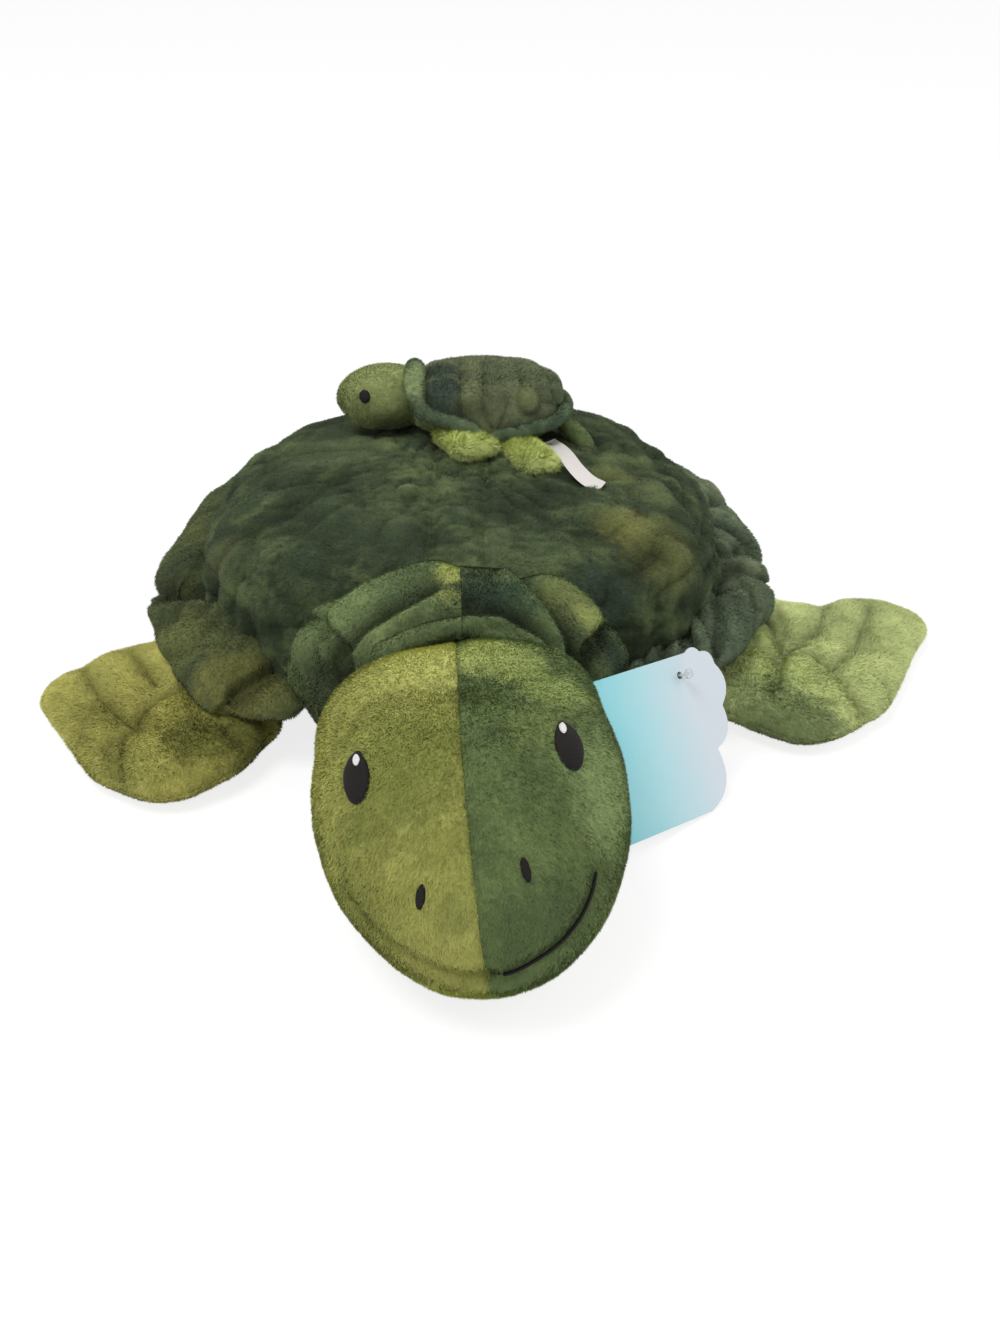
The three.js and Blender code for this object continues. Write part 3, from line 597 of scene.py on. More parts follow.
class Finish(Net):
    """A material for one of the toy's surfaces."""

    def __init__(self, name):
        self.material = bpy.data.materials.new(name)
        self.material.use_nodes = True
        super().__init__(self.material.node_tree)

    def place(self):
        """Where a point is, in metres."""
        return self.node("ShaderNodeTexCoord", output=3)

    def value(self, title):
        """A number that the mesh holds at each point."""
        return self.node("ShaderNodeAttribute", {"attribute_name": title}, output=2)

    def cloud(self, place, size, detail=2.0, roughness=0.5, distortion=0.0):
        """Soft random values whose patches are about size millimetres wide."""
        return self.node(
            "ShaderNodeTexNoise", {},
            {"Vector": place, "Scale": 1000 / size, "Detail": detail,
             "Roughness": roughness, "Distortion": distortion},
        )

    def between(self, value, low, high):
        """0 below low, 1 above high, and smooth from one to the other."""
        return self.node(
            "ShaderNodeMapRange", {"interpolation_type": "SMOOTHSTEP"},
            {"Value": value, "From Min": low, "From Max": high},
        )

    def ramp(self, value, stops):
        return self.node("ShaderNodeValToRGB", {"stops": stops}, {"Fac": value})

    def blend(self, factor, first, second):
        return self.node(
            "ShaderNodeMix", {"data_type": "RGBA"}, {0: factor, 6: first, 7: second}, 2
        )

    def bump(self, height, distance, strength):
        """Relief. Distance is in millimetres."""
        return self.node(
            "ShaderNodeBump", {},
            {"Height": height, "Distance": distance * METRES, "Strength": strength},
        )

    def surface(self, **inputs):
        names = {key.replace("_", " "): value for key, value in inputs.items()}
        shader = self.node("ShaderNodeBsdfPrincipled", {}, names)
        self.node("ShaderNodeOutputMaterial", {}, {"Surface": shader})
        return self.material


def shade(red, green, blue):
    """A colour from its 0 to 255 values as a paint chart gives them."""
    def linear(level):
        level = level / 255
        return level / 12.92 if level <= 0.04045 else ((level + 0.055) / 1.055) ** 2.4

    return (linear(red), linear(green), linear(blue), 1.0)


print("olive is", [round(value, 3) for value in shade(125, 140, 75)])

# %% [markdown]
# ## Light and floor
#
# The picture is a plain studio shot on white. A large soft lamp in front and
# above gives the shadows under the collar and the rim, and a white world fills
# them. The floor is white and keeps the toy's own soft shadow.

# %% Light and floor
world = bpy.data.worlds.new("studio")
bpy.context.scene.world = world
world.use_nodes = True
WORLD_LIGHT = 0.58  # on the toy. The camera, reflections and clear plastic see 1
studio = Net(world.node_tree)
shown = sum(studio.node("ShaderNodeLightPath", output=f"Is {kind} Ray")
            for kind in ("Camera", "Glossy", "Transmission"))
level = studio.node(
    "ShaderNodeMapRange", {}, {"Value": shown, "To Min": WORLD_LIGHT, "To Max": 1.0}
)
sky = studio.node("ShaderNodeBackground", {}, {"Color": (1, 1, 1, 1), "Strength": level})
studio.node("ShaderNodeOutputWorld", {}, {"Surface": sky})


def lamp(name, place, aim, size, power):
    light = bpy.data.lights.new(name, "AREA")
    light.shape = "DISK"
    light.size = size
    light.energy = power
    held = bpy.data.objects.new(name, light)
    held.location = place
    held.rotation_euler = (Vector(aim) - Vector(place)).to_track_quat("-Z", "Y").to_euler()
    bpy.context.collection.objects.link(held)


lamp("key_lamp", (-0.75, -0.75, 2.1), (0, -0.1, 0.05), 1.1, 27)
lamp("side_lamp", (1.5, -0.5, 1.3), (0, -0.1, 0.05), 1.4, 8)

paper = Finish("floor_paper")
floor_colour = paper.node("ShaderNodeRGB", output=0)
floor_colour.socket.default_value = (0.93, 0.93, 0.93, 1)
diffuse = paper.node("ShaderNodeBsdfDiffuse", {}, {"Color": floor_colour})
glow = paper.node("ShaderNodeEmission", {}, {"Color": (1, 1, 1, 1), "Strength": 1.12})
seen = paper.node("ShaderNodeLightPath", output=0)
mixed = paper.node("ShaderNodeMixShader", {}, {0: seen * 0.72, 1: diffuse, 2: glow})
paper.node("ShaderNodeOutputMaterial", {}, {"Surface": mixed})
bpy.ops.mesh.primitive_plane_add(size=12, location=(0, 0, -0.0005))
floor = bpy.context.object
floor.name = "floor"
floor.data.materials.append(paper.material)
print("two lamps and a floor")

# %% [markdown]
# ## Plush
#
# The cloth is dyed in soft clouds, from near black-green to yellow-green, and
# each tuft takes the dye of the place it grows from. The clouds come from noise
# textures at two sizes. Tuft roots are painted darker than their ends, as painted
# shade from their neighbours, and the sheen layer gives the pale edge that a pile
# has when it is seen from the side. The cloth's hollows are painted darker and its
# ridges lighter, as painted shade and painted highlight, and some of the spots are
# painted light and shade too.


# %% Plush
PILE_GAIN = 1.75  # a pile traps light between its tufts, and this gives it back
GRAIN = 0.3  # how much the tufts differ from one another


def plush(name, dark, middle, light, patch=55, contrast=0.2, seed=0, skin=None, spots=(),
          relief_shade_and_highlight=0.5):
    """A dyed plush, from its three dyes.

    Spots are (place, radius in millimetres, colour, strength); some are dyed
    patches of the cloth, and others are painted highlight and painted shade. A place
    is where the picture shows it on the skin or, without a skin, a point in
    millimetres. The cloth's hollows get painted shade and its ridges painted
    highlight, by the share that the last argument gives.
    """
    cloth = Finish(name)
    place = cloth.place()
    shifted = place + (seed * 0.37, seed * 0.21, seed * 0.11)
    wide = cloth.cloud(shifted, patch, 2.5, 0.55, 0.4)
    small = cloth.cloud(shifted * (1.0, 1.6, 1.3), patch / 4, 2.0, 0.6, 0.3)
    stops = (0.5 - contrast, 0.5, 0.5 + contrast)
    dyes = [shade(*dye_and_light) for dye_and_light in (dark, middle, light)]
    colour = cloth.ramp(wide * 0.7 + small * 0.3, list(zip(stops, dyes)))
    tree = skin.tree() if skin else None
    # Some spots are dyed patches; others are painted highlight and painted shade
    for where, radius, dye_and_light, strength in spots:
        where = skin.seen_at([where], tree)[0] if skin else np.array(where)
        away = cloth.node(
            "ShaderNodeVectorMath", {"operation": "DISTANCE"},
            {0: place, 1: tuple(where * METRES)}, 1,
        )
        ragged = away * 1000 / radius + (small - 0.5) * 1.1
        colour = cloth.blend(
            (1 - cloth.between(ragged, 0.45, 1.15)) * strength, colour, shade(*dye_and_light)
        )
    speck = cloth.cloud(shifted * (1.0, 1.0, 0.7), 2.4, 3.0, 0.75)
    fleck = cloth.between(speck, 0.52, 0.7)
    # Painted shade at the tufts' roots, painted shade in the cloth's hollows and painted
    # highlight on its ridges
    depth = (0.8 + cloth.value("pile") * 0.28) * (1 + cloth.value("relief") * relief_shade_and_highlight)
    vary = (1.06 - GRAIN / 2) + cloth.value("tuft") * (GRAIN * 0.8) - fleck * (GRAIN * 0.9)
    colour = colour * (depth * vary * PILE_GAIN)
    relief = cloth.bump(cloth.cloud(shifted, 1.4, 3.0, 0.7), 0.5, 0.35)
    return cloth.surface(
        Base_Color=colour, Roughness=0.88, Normal=relief, Sheen_Weight=0.25,
        Sheen_Roughness=0.4, Sheen_Tint=(0.72, 0.8, 0.5, 1), Specular_IOR_Level=0.12,
    )


SHORT = Pile(per_mm=2.2, length=1.9, width=0.55, lean=34, wild=0.35)
FACE = Pile(per_mm=4.4, length=1.9, width=0.42, lean=38, spread=20, clump=3.0, wild=0.35)
FLIPPER = Pile(per_mm=4.6, length=2.3, width=0.42, lean=36, clump=3.5, wild=0.35)

print("plush ready")

# %% [markdown]
# ## The shell
#
# The shell's top is a stuffed dome of three panels: one each side, and a narrow
# strip down the middle. It could be a sphere pressed flat, but the real one has
# steep sides and a broad crown, as a superellipse has. The panels are one form,
# wrinkled as a whole, then cut along the strip's two seams.

# %% Dome
SHELL = dict(half_width=146, front=150, rear=176, seam_z=56, rise=56, depth=56.5)


def shell_edge(bearing):
    across, along = squared_circle(bearing, 2.3)
    length = np.where(along < 0, SHELL["front"], SHELL["rear"])
    return across * SHELL["half_width"], along * length


def front_share(bearing):
    """1 at the front of the shell, and less towards its sides."""
    off = np.arctan2(np.cos(bearing), -np.sin(bearing)) / np.pi
    return bell(off, 0.34)


def dome_at(along, turn):
    """along runs from just under the edge seam to the crown."""
    bearing = 2 * np.pi * turn
    steep = np.radians(-3 + 92.6 * along)
    angle = np.arctan(np.tan(steep) * 150 / SHELL["rise"])
    power = 2.4 + 2.6 * front_share(bearing)
    power = np.where(steep < 0, 3.2, power)
    out, up = squared_circle(angle, power)
    x, y = shell_edge(bearing)
    return xyz(x * out, y * out, SHELL["seam_z"] + SHELL["rise"] * up)


dome = Skin(dome_at, 124, 520)
flat_points = dome.points
bearing = np.arctan2(flat_points[..., 1], flat_points[..., 0])
height = np.clip((flat_points[..., 2] - SHELL["seam_z"]) / SHELL["rise"], 0, 1)
gathers = np.sin(bearing * 46 + 2.2 * soft_noise(flat_points, 30, 3))

# Wrinkles run round the dome. Their noise is laid on the edge's outline, drawn in
climb = np.broadcast_to(np.linspace(0, 190, 124)[:, None], bearing.shape)
round_it = xyz(*shell_edge(bearing), climb)
beside = np.clip((flat_points[..., 0] - 45) / 60, 0, 1) * np.clip((165 - climb) / 60, 0, 1)
dome.push(
    2.2 * soft_noise(flat_points * (1, 1.8, 1.6), 34, 5)
    + 3.4 * (billows(round_it * (0.42, 0.42, 1) + flat_points * 0.12, 12, 6) - 0.5)
    * np.clip((185 - climb) / 40, 0.25, 1)
    + 5.0 * (billows(round_it * (0.17, 0.17, 1), 8.5, 7) - 0.5) * beside
    + 1.5 * gathers * np.clip(1 - height * 1.6, 0, 1) ** 1.2
)
STRIP = 14.0
# Painted highlight along the strip's seams, where the parted pile catches the light. It goes into
# the relief, which the material turns into a lighter colour, and moves no point
SEAM_HIGHLIGHT = 6.0  # the pile parts at the strip's seams and shows its light side


def snap(skin, axis, value, reach=1.7):
    """Slides the points near a cut onto it, so that the cut is clean."""
    off = skin.points[..., axis] - value
    skin.points[..., axis] = np.where(np.abs(off) < reach, value, skin.points[..., axis])


for seam in (-STRIP, STRIP):
    off = dome.points[..., 0] - seam
    dome.push(-2.4 * bell(off, 3.4))
    # Painted highlight along the seam
    dome.relief = dome.relief + SEAM_HIGHLIGHT * bell(off, 1.5)
    snap(dome, 0, seam)


def dome_nap(root):
    """The pile runs down from the crown and towards the tail."""
    return xyz(root[:, 0] * 0.5, 60 + root[:, 1] * 0.3, -30)


deep_green = plush(
    "deep_green_plush", (30, 38, 27), (44, 53, 36), (74, 84, 54),
    patch=34, contrast=0.17, seed=1, relief_shade_and_highlight=0.75, skin=dome,
    spots=[((655, 548), 30, (95, 98, 55), 0.5),
           ((625, 525), 20, (98, 99, 54), 0.45),
           ((612, 478), 17, (90, 97, 58), 0.6),
           ((655, 492), 16, (82, 90, 58), 0.5),
           ((330, 452), 36, (74, 85, 60), 0.45),
           # Painted highlight along the edge seam, where the turned pile catches the light
           ((222, 560), 16, (84, 88, 58), 0.4),
           ((380, 530), 40, (38, 46, 32), 0.7),
           ((310, 575), 30, (34, 42, 29), 0.6),
           ((600, 600), 22, (44, 56, 46), 0.6)],
)

for name, keep, number in (
    ("shell_panel_left", lambda c: c[:, 0] > STRIP, 11),
    ("shell_panel_right", lambda c: c[:, 0] < -STRIP, 12),
    ("shell_centre_strip", lambda c: np.abs(c[:, 0]) < STRIP, 13),
):
    sew("plush_" + name, dome, deep_green, SHORT, dome_nap, keep, slot="dark_plush",
        stands_for=[name], seed=number, tuck=0.6)

# %% [markdown]
# ## The belly
#
# The belly is the lower half of the same form, in a paler cloth. The toy's
# weight presses it flat where it lies on the floor.


# %% Belly
def belly_at(along, turn):
    bearing = 2 * np.pi * turn
    steep = np.radians(-2 + 92 * along)
    angle = np.arctan(np.tan(np.clip(steep, 0, None)) * 150 / SHELL["depth"])
    out, up = squared_circle(angle, 3.2)
    x, y = shell_edge(bearing)
    out = np.clip(out, 0.004, None)
    return xyz(x * out, y * out, SHELL["seam_z"] - SHELL["depth"] * up)


pale_green = plush(
    "pale_green_plush", (120, 132, 72), (142, 154, 92), (160, 170, 110),
    contrast=0.22, seed=2,
    # Painted shade: these spots darken the belly round its top, under the rim
    spots=[((side * x, y, 50), 62, (50, 60, 42), 1.0) for side in (-1, 1)
           for x, y in ((80, -125), (135, -60), (140, 20), (125, 95), (60, 160))],
)
belly = Skin(belly_at, 50, 200)
belly.keep_above(0.8)
sides = np.clip(belly.points[..., 2] / 30, 0, 1)
belly.push(1.6 * soft_noise(belly.points, 30, 8) * sides)
belly.keep_above(0.8)
sew("plush_belly", belly, pale_green, Pile(0.5, 2.2, 1.2, lean=25), (0, 1, 0),
    slot="belly_plush", stands_for=["belly_panel", "body_filling"], seed=14, tuck=0,
    length_at=lambda root: np.clip((root[:, 2] - 1.5) / 8, 0.05, 1))

# %% [markdown]
# ## The head
#
# The head is a stuffed egg, blunt behind and round at the nose, sewn from a left
# and a right panel that meet from crown to nose. A subdivided egg would do for
# the form. Here the form comes from two superellipses, one along it and one
# round it, so that it keeps the exact outline of the solid.

# %% Head
HEAD_CENTRE = np.array([6.0, -240.0, 66.0])
HEAD = dict(half_width=65, half_height=56, back=40, nose=117)
FLOOR_GAP = 0.9  # between the floor and the cloth, for the pile


def turned(points, axis, angle):
    """Turns points about X, Y or Z by degrees."""
    c, s = math.cos(math.radians(angle)), math.sin(math.radians(angle))
    i, j = ((1, 2), (2, 0), (0, 1))[axis]
    result = points.copy()
    result[..., i] = c * points[..., i] - s * points[..., j]
    result[..., j] = s * points[..., i] + c * points[..., j]
    return result


def head_tilt(points):
    return turned(turned(turned(points, 1, -8), 0, 13.5), 2, 8) + HEAD_CENTRE


def head_at(along, turn):
    """along runs from the back of the head to the nose."""
    steep = np.radians(-89.6 + 179.2 * along)
    length = np.where(steep < 0, HEAD["back"], HEAD["nose"])
    power = np.where(steep < 0, 2.8, 2.3)
    closing, forward = squared_circle(np.arctan(np.tan(steep) * (60 / length)), power)
    cheeks = 5 * np.where(forward > 0, np.sin(np.pi * np.abs(forward) ** 0.65) ** 2, 0)
    round_power = 2.6 - 0.6 * np.clip(forward, 0, 1)
    across, up = squared_circle(2 * np.pi * turn, round_power)
    return xyz((HEAD["half_width"] * closing + cheeks) * across, -length * forward,
               (HEAD["half_height"] * closing + cheeks) * up)


# %% [markdown]
# ### Seam, mouth and folds of the head
#
# The middle seam draws the cloth in, and the mouth and the soft folds by the eyes
# and the nose sink into the filling. They could be sculpted with a brush, but a line
# in the picture is easier to check against it, and to move.

# %% Head folds
head_skin = Skin(head_at, 130, 240)
local = head_skin.points


def seam_side(points):
    """How far a place is to the left of the seam, which slants a little over the head."""
    along = np.clip((30 - points[..., 1]) / 145, 0, 1)
    return points[..., 0] - (6.0 - 11.0 * along)


seam_depth = 0.7 * bell(seam_side(local), 1.8) * (local[..., 2] > -20)
head_skin.push(
    1.0 * soft_noise(local, 34, 21) + 0.5 * soft_noise(local, 12, 22) - seam_depth
)
off = seam_side(head_skin.points)
head_skin.points[..., 0] -= np.where(np.abs(off) < 0.9, off, 0)
head_skin.points = head_tilt(head_skin.points)
head_skin.keep_above(FLOOR_GAP)
MOUTH_LEFT_SIDE = [(595, 870), (590, 893), (578, 918), (560, 940), (537, 957), (512, 970),
                   (487, 975)]
MOUTH_RIGHT_SIDE = [(350, 900), (372, 926), (398, 948), (430, 965), (460, 974), (487, 975)]
head_skin.creases([
    (MOUTH_LEFT_SIDE, 2.0, 3.0, 3.0),
    (MOUTH_RIGHT_SIDE, 1.6, 2.6, 2.6),
    ([(352, 722), (368, 704), (398, 692), (430, 684), (470, 690)], 1.8, 4, 9),
    ([(470, 742), (505, 730), (540, 724)], 1.0, 3.5, 3.5),
    ([(478, 790), (520, 770), (550, 778)], 0.9, 4, 4),
])

CHIN_Z = 24.0
snap(head_skin, 2, CHIN_Z, 0.8)


def head_nap(root):
    """The pile runs from the crown down to the nose and cheeks."""
    return xyz((root[:, 0] - HEAD_CENTRE[0]) * 0.6, -50, -25)


def to_head(points):
    back = points - HEAD_CENTRE
    return turned(turned(turned(back, 2, -8), 0, -13.5), 1, 8)


print("head, lowest and highest", head_skin.points[..., 2].min(), head_skin.points[..., 2].max())

# %% [markdown]
# ### Cloths and panels of the head
#
# The right panel is yellower than the left one, and the chin is palest. The dye
# could be painted on an image. Spots of dye need none, and noise frays their edges
# as the real dye runs from tuft to tuft. The pale spots on the crown of both panels
# and on the outer cheeks are not dye: they are painted highlight, where light falls
# on the crown from above and along the cheeks' pile.

# %% Head panels
light_head = plush(
    "yellow_green_plush", (106, 112, 54), (127, 129, 68), (146, 147, 82),
    patch=30, seed=3, skin=head_skin,
    # Painted highlight: the first two spots, on the crown lit from above, and the one at (325,
    # 800), on the lit cheek
    spots=[((425, 662), 26, (166, 168, 100), 0.75),
           ((375, 690), 20, (152, 154, 88), 0.55),
           ((325, 800), 24, (142, 142, 78), 0.5),
           ((400, 770), 34, (102, 108, 54), 0.65),
           ((350, 830), 9, (100, 108, 56), 0.5),
           ((430, 940), 26, (142, 142, 80), 0.5),
           ((452, 918), 11, (98, 104, 53), 0.45)],
)
dark_head = plush(
    "grass_green_plush", (72, 86, 52), (85, 99, 61), (100, 114, 70),
    patch=30, seed=4, skin=head_skin,
    # Painted highlight: the first three spots and the one at (575, 690), on the crown lit from
    # above, and the one at (612, 790), the sheen on the outer cheek
    spots=[((478, 652), 16, (152, 158, 94), 0.8),
           ((515, 662), 18, (142, 152, 92), 0.8),
           ((552, 690), 17, (134, 146, 88), 0.75),
           ((532, 728), 14, (112, 124, 74), 0.6),
           ((478, 700), 12, (74, 86, 46), 0.6),
           ((612, 790), 30, (134, 150, 100), 0.7),
           ((575, 690), 12, (134, 148, 92), 0.6),
           ((545, 930), 26, (72, 86, 56), 0.6),
           ((600, 930), 20, (118, 134, 86), 0.6)],
)
chin_green = plush(
    "chin_plush", (128, 134, 70), (146, 150, 84), (160, 164, 98), patch=30,
    seed=16, skin=head_skin,
    spots=[((540, 985), 26, (104, 120, 74), 0.7)],
)
for name, keep, finish, number in (
    ("head_panel_left", lambda c: (seam_side(to_head(c)) > 0) & (c[:, 2] > CHIN_Z),
     dark_head, 21),
    ("head_panel_right", lambda c: (seam_side(to_head(c)) < 0) & (c[:, 2] > CHIN_Z),
     light_head, 22),
    ("chin_panel", lambda c: c[:, 2] < CHIN_Z, chin_green, 23),
):
    also = ["head_filling"] if name == "chin_panel" else []
    sew("plush_" + name, head_skin, finish, FACE, head_nap, keep, body="head",
        slot="head_plush", stands_for=[name] + also, seed=number, tuck=0.35,
        length_at=lambda root: np.clip((root[:, 2] - 1) / 6, 0.05, 1))

# %% [markdown]
# ## Embroidered eyes and nostrils
#
# The eyes are embroidered: rows of satin stitch packed into a raised almond, with
# a small white oval for the glint. A painted spot would look flat. Each patch is
# a grid laid on the head where the picture shows it and raised in the middle,
# and the value `row` counts millimetres across the stitches for the thread's
# relief.


# %% Patches
STITCH = 0.5  # from one row of thread to the next, in millimetres


def almond(centre, half_width, half_height, lean, pointed):
    """Places in the picture round an almond that leans by degrees."""
    angle = np.linspace(0, 2 * np.pi, 48, endpoint=False)
    narrow = 1 - pointed * np.clip(np.sin(angle), 0, None) ** 2
    x, y = half_width * np.cos(angle) * narrow, half_height * np.sin(angle)
    c, s = math.cos(math.radians(lean)), math.sin(math.radians(lean))
    return np.stack([centre[0] + x * c + y * s, centre[1] + x * s - y * c], -1)


def thread(name, tint, roughness, gloss):
    """Rows of satin stitch."""
    cloth = Finish(name)
    turns = cloth.value("row") * (2 * math.pi / STITCH)
    ridge = cloth.node("ShaderNodeMath", {"operation": "SINE"}, {0: turns})
    uneven = cloth.cloud(cloth.place(), 3.0, 2.0, 0.6)
    # Painted shade: the thread is darker in the grooves between its rows
    shade_between_rows = tuple(level * 0.55 for level in tint[:3]) + (1,)
    colour = cloth.blend(cloth.between(ridge + uneven, -0.6, 1.6), shade_between_rows, tint)
    return cloth.surface(
        Base_Color=colour, Roughness=roughness, Specular_IOR_Level=gloss,
        Normal=cloth.bump(ridge * 0.5 + uneven, 0.18, 0.6),
    )


THREADS = {
    "black_thread": thread("black_thread", shade(26, 23, 21), 0.6, 0.16),
    "white_thread": thread("white_thread", shade(246, 243, 240), 0.5, 0.4),
}
head_tree = head_skin.tree()


def patch(name, outline, slot, lift, crown, body="head", tree=head_tree):
    """A raised embroidered patch laid on a head."""
    centre = outline.mean(0)
    rings = 9
    pixels = [centre[None, :] + (outline - centre) * share for share in
              np.linspace(0.02, 1, rings)]
    corners, rows = [], []
    for number, ring in enumerate(pixels):
        share = number / (rings - 1)
        for pixel in ring:
            hit, normal = tree.ray_cast(Vector(EYE), Vector(ray_through(pixel)))[:2]
            normal = np.array(normal)
            normal = normal if normal @ SIGHT < 0 else -normal
            rise = lift + crown * (1 - share**3)
            corners.append(np.array(hit) + normal * (rise if share < 1 else lift * 0.3))
            rows.append(pixel[1] * 0.42)
    quads, corners = ring_quads(rings, len(outline)), np.array(corners)
    if (corner_normals(corners, quads).mean(0) @ SIGHT) > 0:
        quads = quads[:, ::-1]
    spot = np.concatenate(pixels)
    spot = (spot - spot.min(0)) / np.ptp(spot, axis=0) * 0.96 + 0.02
    finish_piece(
        name, corners, quads.ravel(), [4] * len(quads), spot[quads.ravel()], THREADS[slot],
        body, slot, [name.removeprefix("stitched_")], row=np.array(rows),
    )


# Each patch: its middle, half width and half height in the picture, its lean, how
# pointed it is, its thread, and how far it lifts at its edge and in its middle
for name, place, half_width, half_height, lean, pointed, slot, lift, crown in (
    ("eye_right", (357.5, 778), 13, 27, 2, 0.35, "black_thread", 1.5, 0.9),
    ("eye_left", (568, 746.5), 13.2, 26, -18, 0.35, "black_thread", 1.5, 0.9),
    ("eye_glint_right", (359.5, 762), 3.1, 6.0, 4, 0.3, "white_thread", 2.5, 0.6),
    ("eye_glint_left", (560.5, 731), 3.1, 6.0, -18, 0.3, "white_thread", 2.5, 0.6),
    ("nostril_right", (421, 897), 4.6, 13, 6, 0, "black_thread", 1.2, 0.5),
    ("nostril_left", (525.5, 870), 4.6, 13, -14, 0, "black_thread", 1.2, 0.5),
):
    patch("stitched_" + name, almond(place, half_width, half_height, lean, pointed),
          slot, lift, crown)

# %% [markdown]
# ## The mouth
#
# On one side the mouth is a line of dark stitching. On the other the same seam
# only shows as a groove, because its thread is sunk in the pile. It is one thread
# here too: a round bead along the seam that gets thin where it sinks.


# %% Mouth
def bead(name, places, radii, slot, body, node, sides=8):
    """A round thread through several places."""
    places = np.array(places)
    ahead = unit(np.gradient(places, axis=0))
    side = unit(np.cross(ahead, SIGHT))
    over = np.cross(side, ahead)
    angle = np.linspace(0, 2 * np.pi, sides, endpoint=False)
    ring = side[:, None] * np.cos(angle)[:, None] + over[:, None] * np.sin(angle)[:, None]
    corners = (places[:, None] + ring * np.asarray(radii)[:, None, None]).reshape(-1, 3)
    number = np.arange(len(places) * sides).reshape(-1, sides)
    quads = ring_quads(len(places), sides)
    if (corner_normals(corners, quads) * (corners - np.repeat(places, sides, 0))).sum() < 0:
        quads = quads[:, ::-1]
    caps = [number[0], number[-1][::-1]]
    ids = np.concatenate([quads.ravel(), *caps])
    spot = np.zeros((len(ids), 2)) + 0.5
    spot[: quads.size, 0] = (quads.ravel() // sides) / len(places)
    spot[: quads.size, 1] = (quads.ravel() % sides) / sides
    steps = np.concatenate([[0], np.cumsum(np.linalg.norm(np.diff(places, axis=0), axis=1))])
    finish_piece(
        name, corners, ids, [4] * len(quads) + [sides, sides], spot, THREADS[slot], body,
        slot, [node], row=np.repeat(steps * 0.5, sides),
    )


MOUTH_STEPS = 90
mouth_pixels = smooth_line(MOUTH_LEFT_SIDE + MOUTH_RIGHT_SIDE[::-1][1:], MOUTH_STEPS)
mouth_places = head_skin.seen_at(mouth_pixels)
share = np.linspace(0, 1, MOUTH_STEPS)
dark_side = np.clip((0.53 - share) / 0.05, 0, 1)
mouth_radius = 0.32 + 0.42 * dark_side * np.clip(share / 0.02, 0.2, 1)
outward = unit(mouth_places - HEAD_CENTRE)
bead("stitched_mouth", mouth_places + outward * (-0.9 + 2.0 * dark_side)[:, None],
     mouth_radius, "black_thread", "head", "mouth_stitching")

# %% [markdown]
# ## The neck
#
# Between the head and the body the neck is a ball of stuffing in the same plush.
# It is nearly hidden, and turns with the neck's own joint.

# %% Neck
NECK_RADIUS, NECK_CENTRE = 34.5, (4, -196, 66)


def ball_at(along, turn):
    lift = np.pi * (0.004 + 0.992 * along - 0.5)
    level = NECK_RADIUS * np.cos(lift)
    x, y = level * np.cos(2 * np.pi * turn), level * np.sin(2 * np.pi * turn)
    return xyz(x, y, NECK_RADIUS * np.sin(lift)) + NECK_CENTRE


neck_skin = Skin(ball_at, 30, 48)
neck_skin.push(0.8 * soft_noise(neck_skin.points, 14, 31))
sew("plush_neck", neck_skin, dark_head, Pile(0.7, 2.2, 1.0), (0, -1, 0), body="neck",
    slot="stuffing", stands_for=["neck_ball"], seed=31)

# %% [markdown]
# ## The rim
#
# The shell's rim is a padded roll, gathered and stitched to the shell's edge, so
# it stands out in lumps with creases between them. On the real toy the two sides
# are slumped differently: loose bags on one side and a tight twisted roll on the
# other. Both are the same swept form here, and the lumps and creases differ.


# %% Rim
def shell_side(bearing, side):
    """The shell's edge and the level direction out from it."""
    x, y = shell_edge(bearing)
    x2, y2 = shell_edge(bearing + 0.01)
    along = unit(np.stack([x2 - x, y2 - y], -1))
    return side * x, y, side * along[..., 1], -along[..., 0]


ROLL = dict(half_width=21.5, half_height=13, out=9.5, height=50)


def rim_at(side, lumps, drop, thin):
    """Lumps are (place along the roll, length, size). Its front end can drop or thin."""
    def place(along, turn):
        bearing = np.radians(-60 + 150 * along)
        x, y, out_x, out_y = shell_side(bearing, side)
        closing = np.sqrt(np.clip(np.minimum(along / 0.083, (1 - along) / 0.063), 0.002, 1))
        swell = sum(size * bell(along - centre, width) for centre, width, size in lumps)
        front = np.clip(1 - along / 0.33, 0, 1)
        closing = closing * (1 - thin * front)
        angle = 2 * np.pi * turn
        wide = (ROLL["half_width"] + swell) * np.cos(angle) * closing
        high = (ROLL["half_height"] + swell * 0.5) * np.sin(angle) * closing
        out = ROLL["out"] * (1 - thin * front) + wide
        z = ROLL["height"] - drop * front**2 - 8 * out / 31 + high
        return xyz(x + out_x * out, y + out_y * out, z)

    return place


# %% [markdown]
# ### Lumps and creases of the rim
#
# Gathered cloth creases where its stitches pull. Noise alone would put the creases
# anywhere, so the large ones follow lines in the picture, and noise adds the small.

# %% Rim creases
RIM_SHAPES = {
    "left": dict(side=1, drop=2, thin=0.5,
                 lumps=[(0.16, 0.05, 0.5), (0.3, 0.07, 1.5), (0.5, 0.08, 0.5), (0.75, 0.1, 1)]),
    "right": dict(side=-1, drop=12, thin=0,
                  lumps=[(0.08, 0.08, 4.0), (0.3, 0.05, 2.0), (0.45, 0.06, -1.5), (0.7, 0.1, 1)]),
}
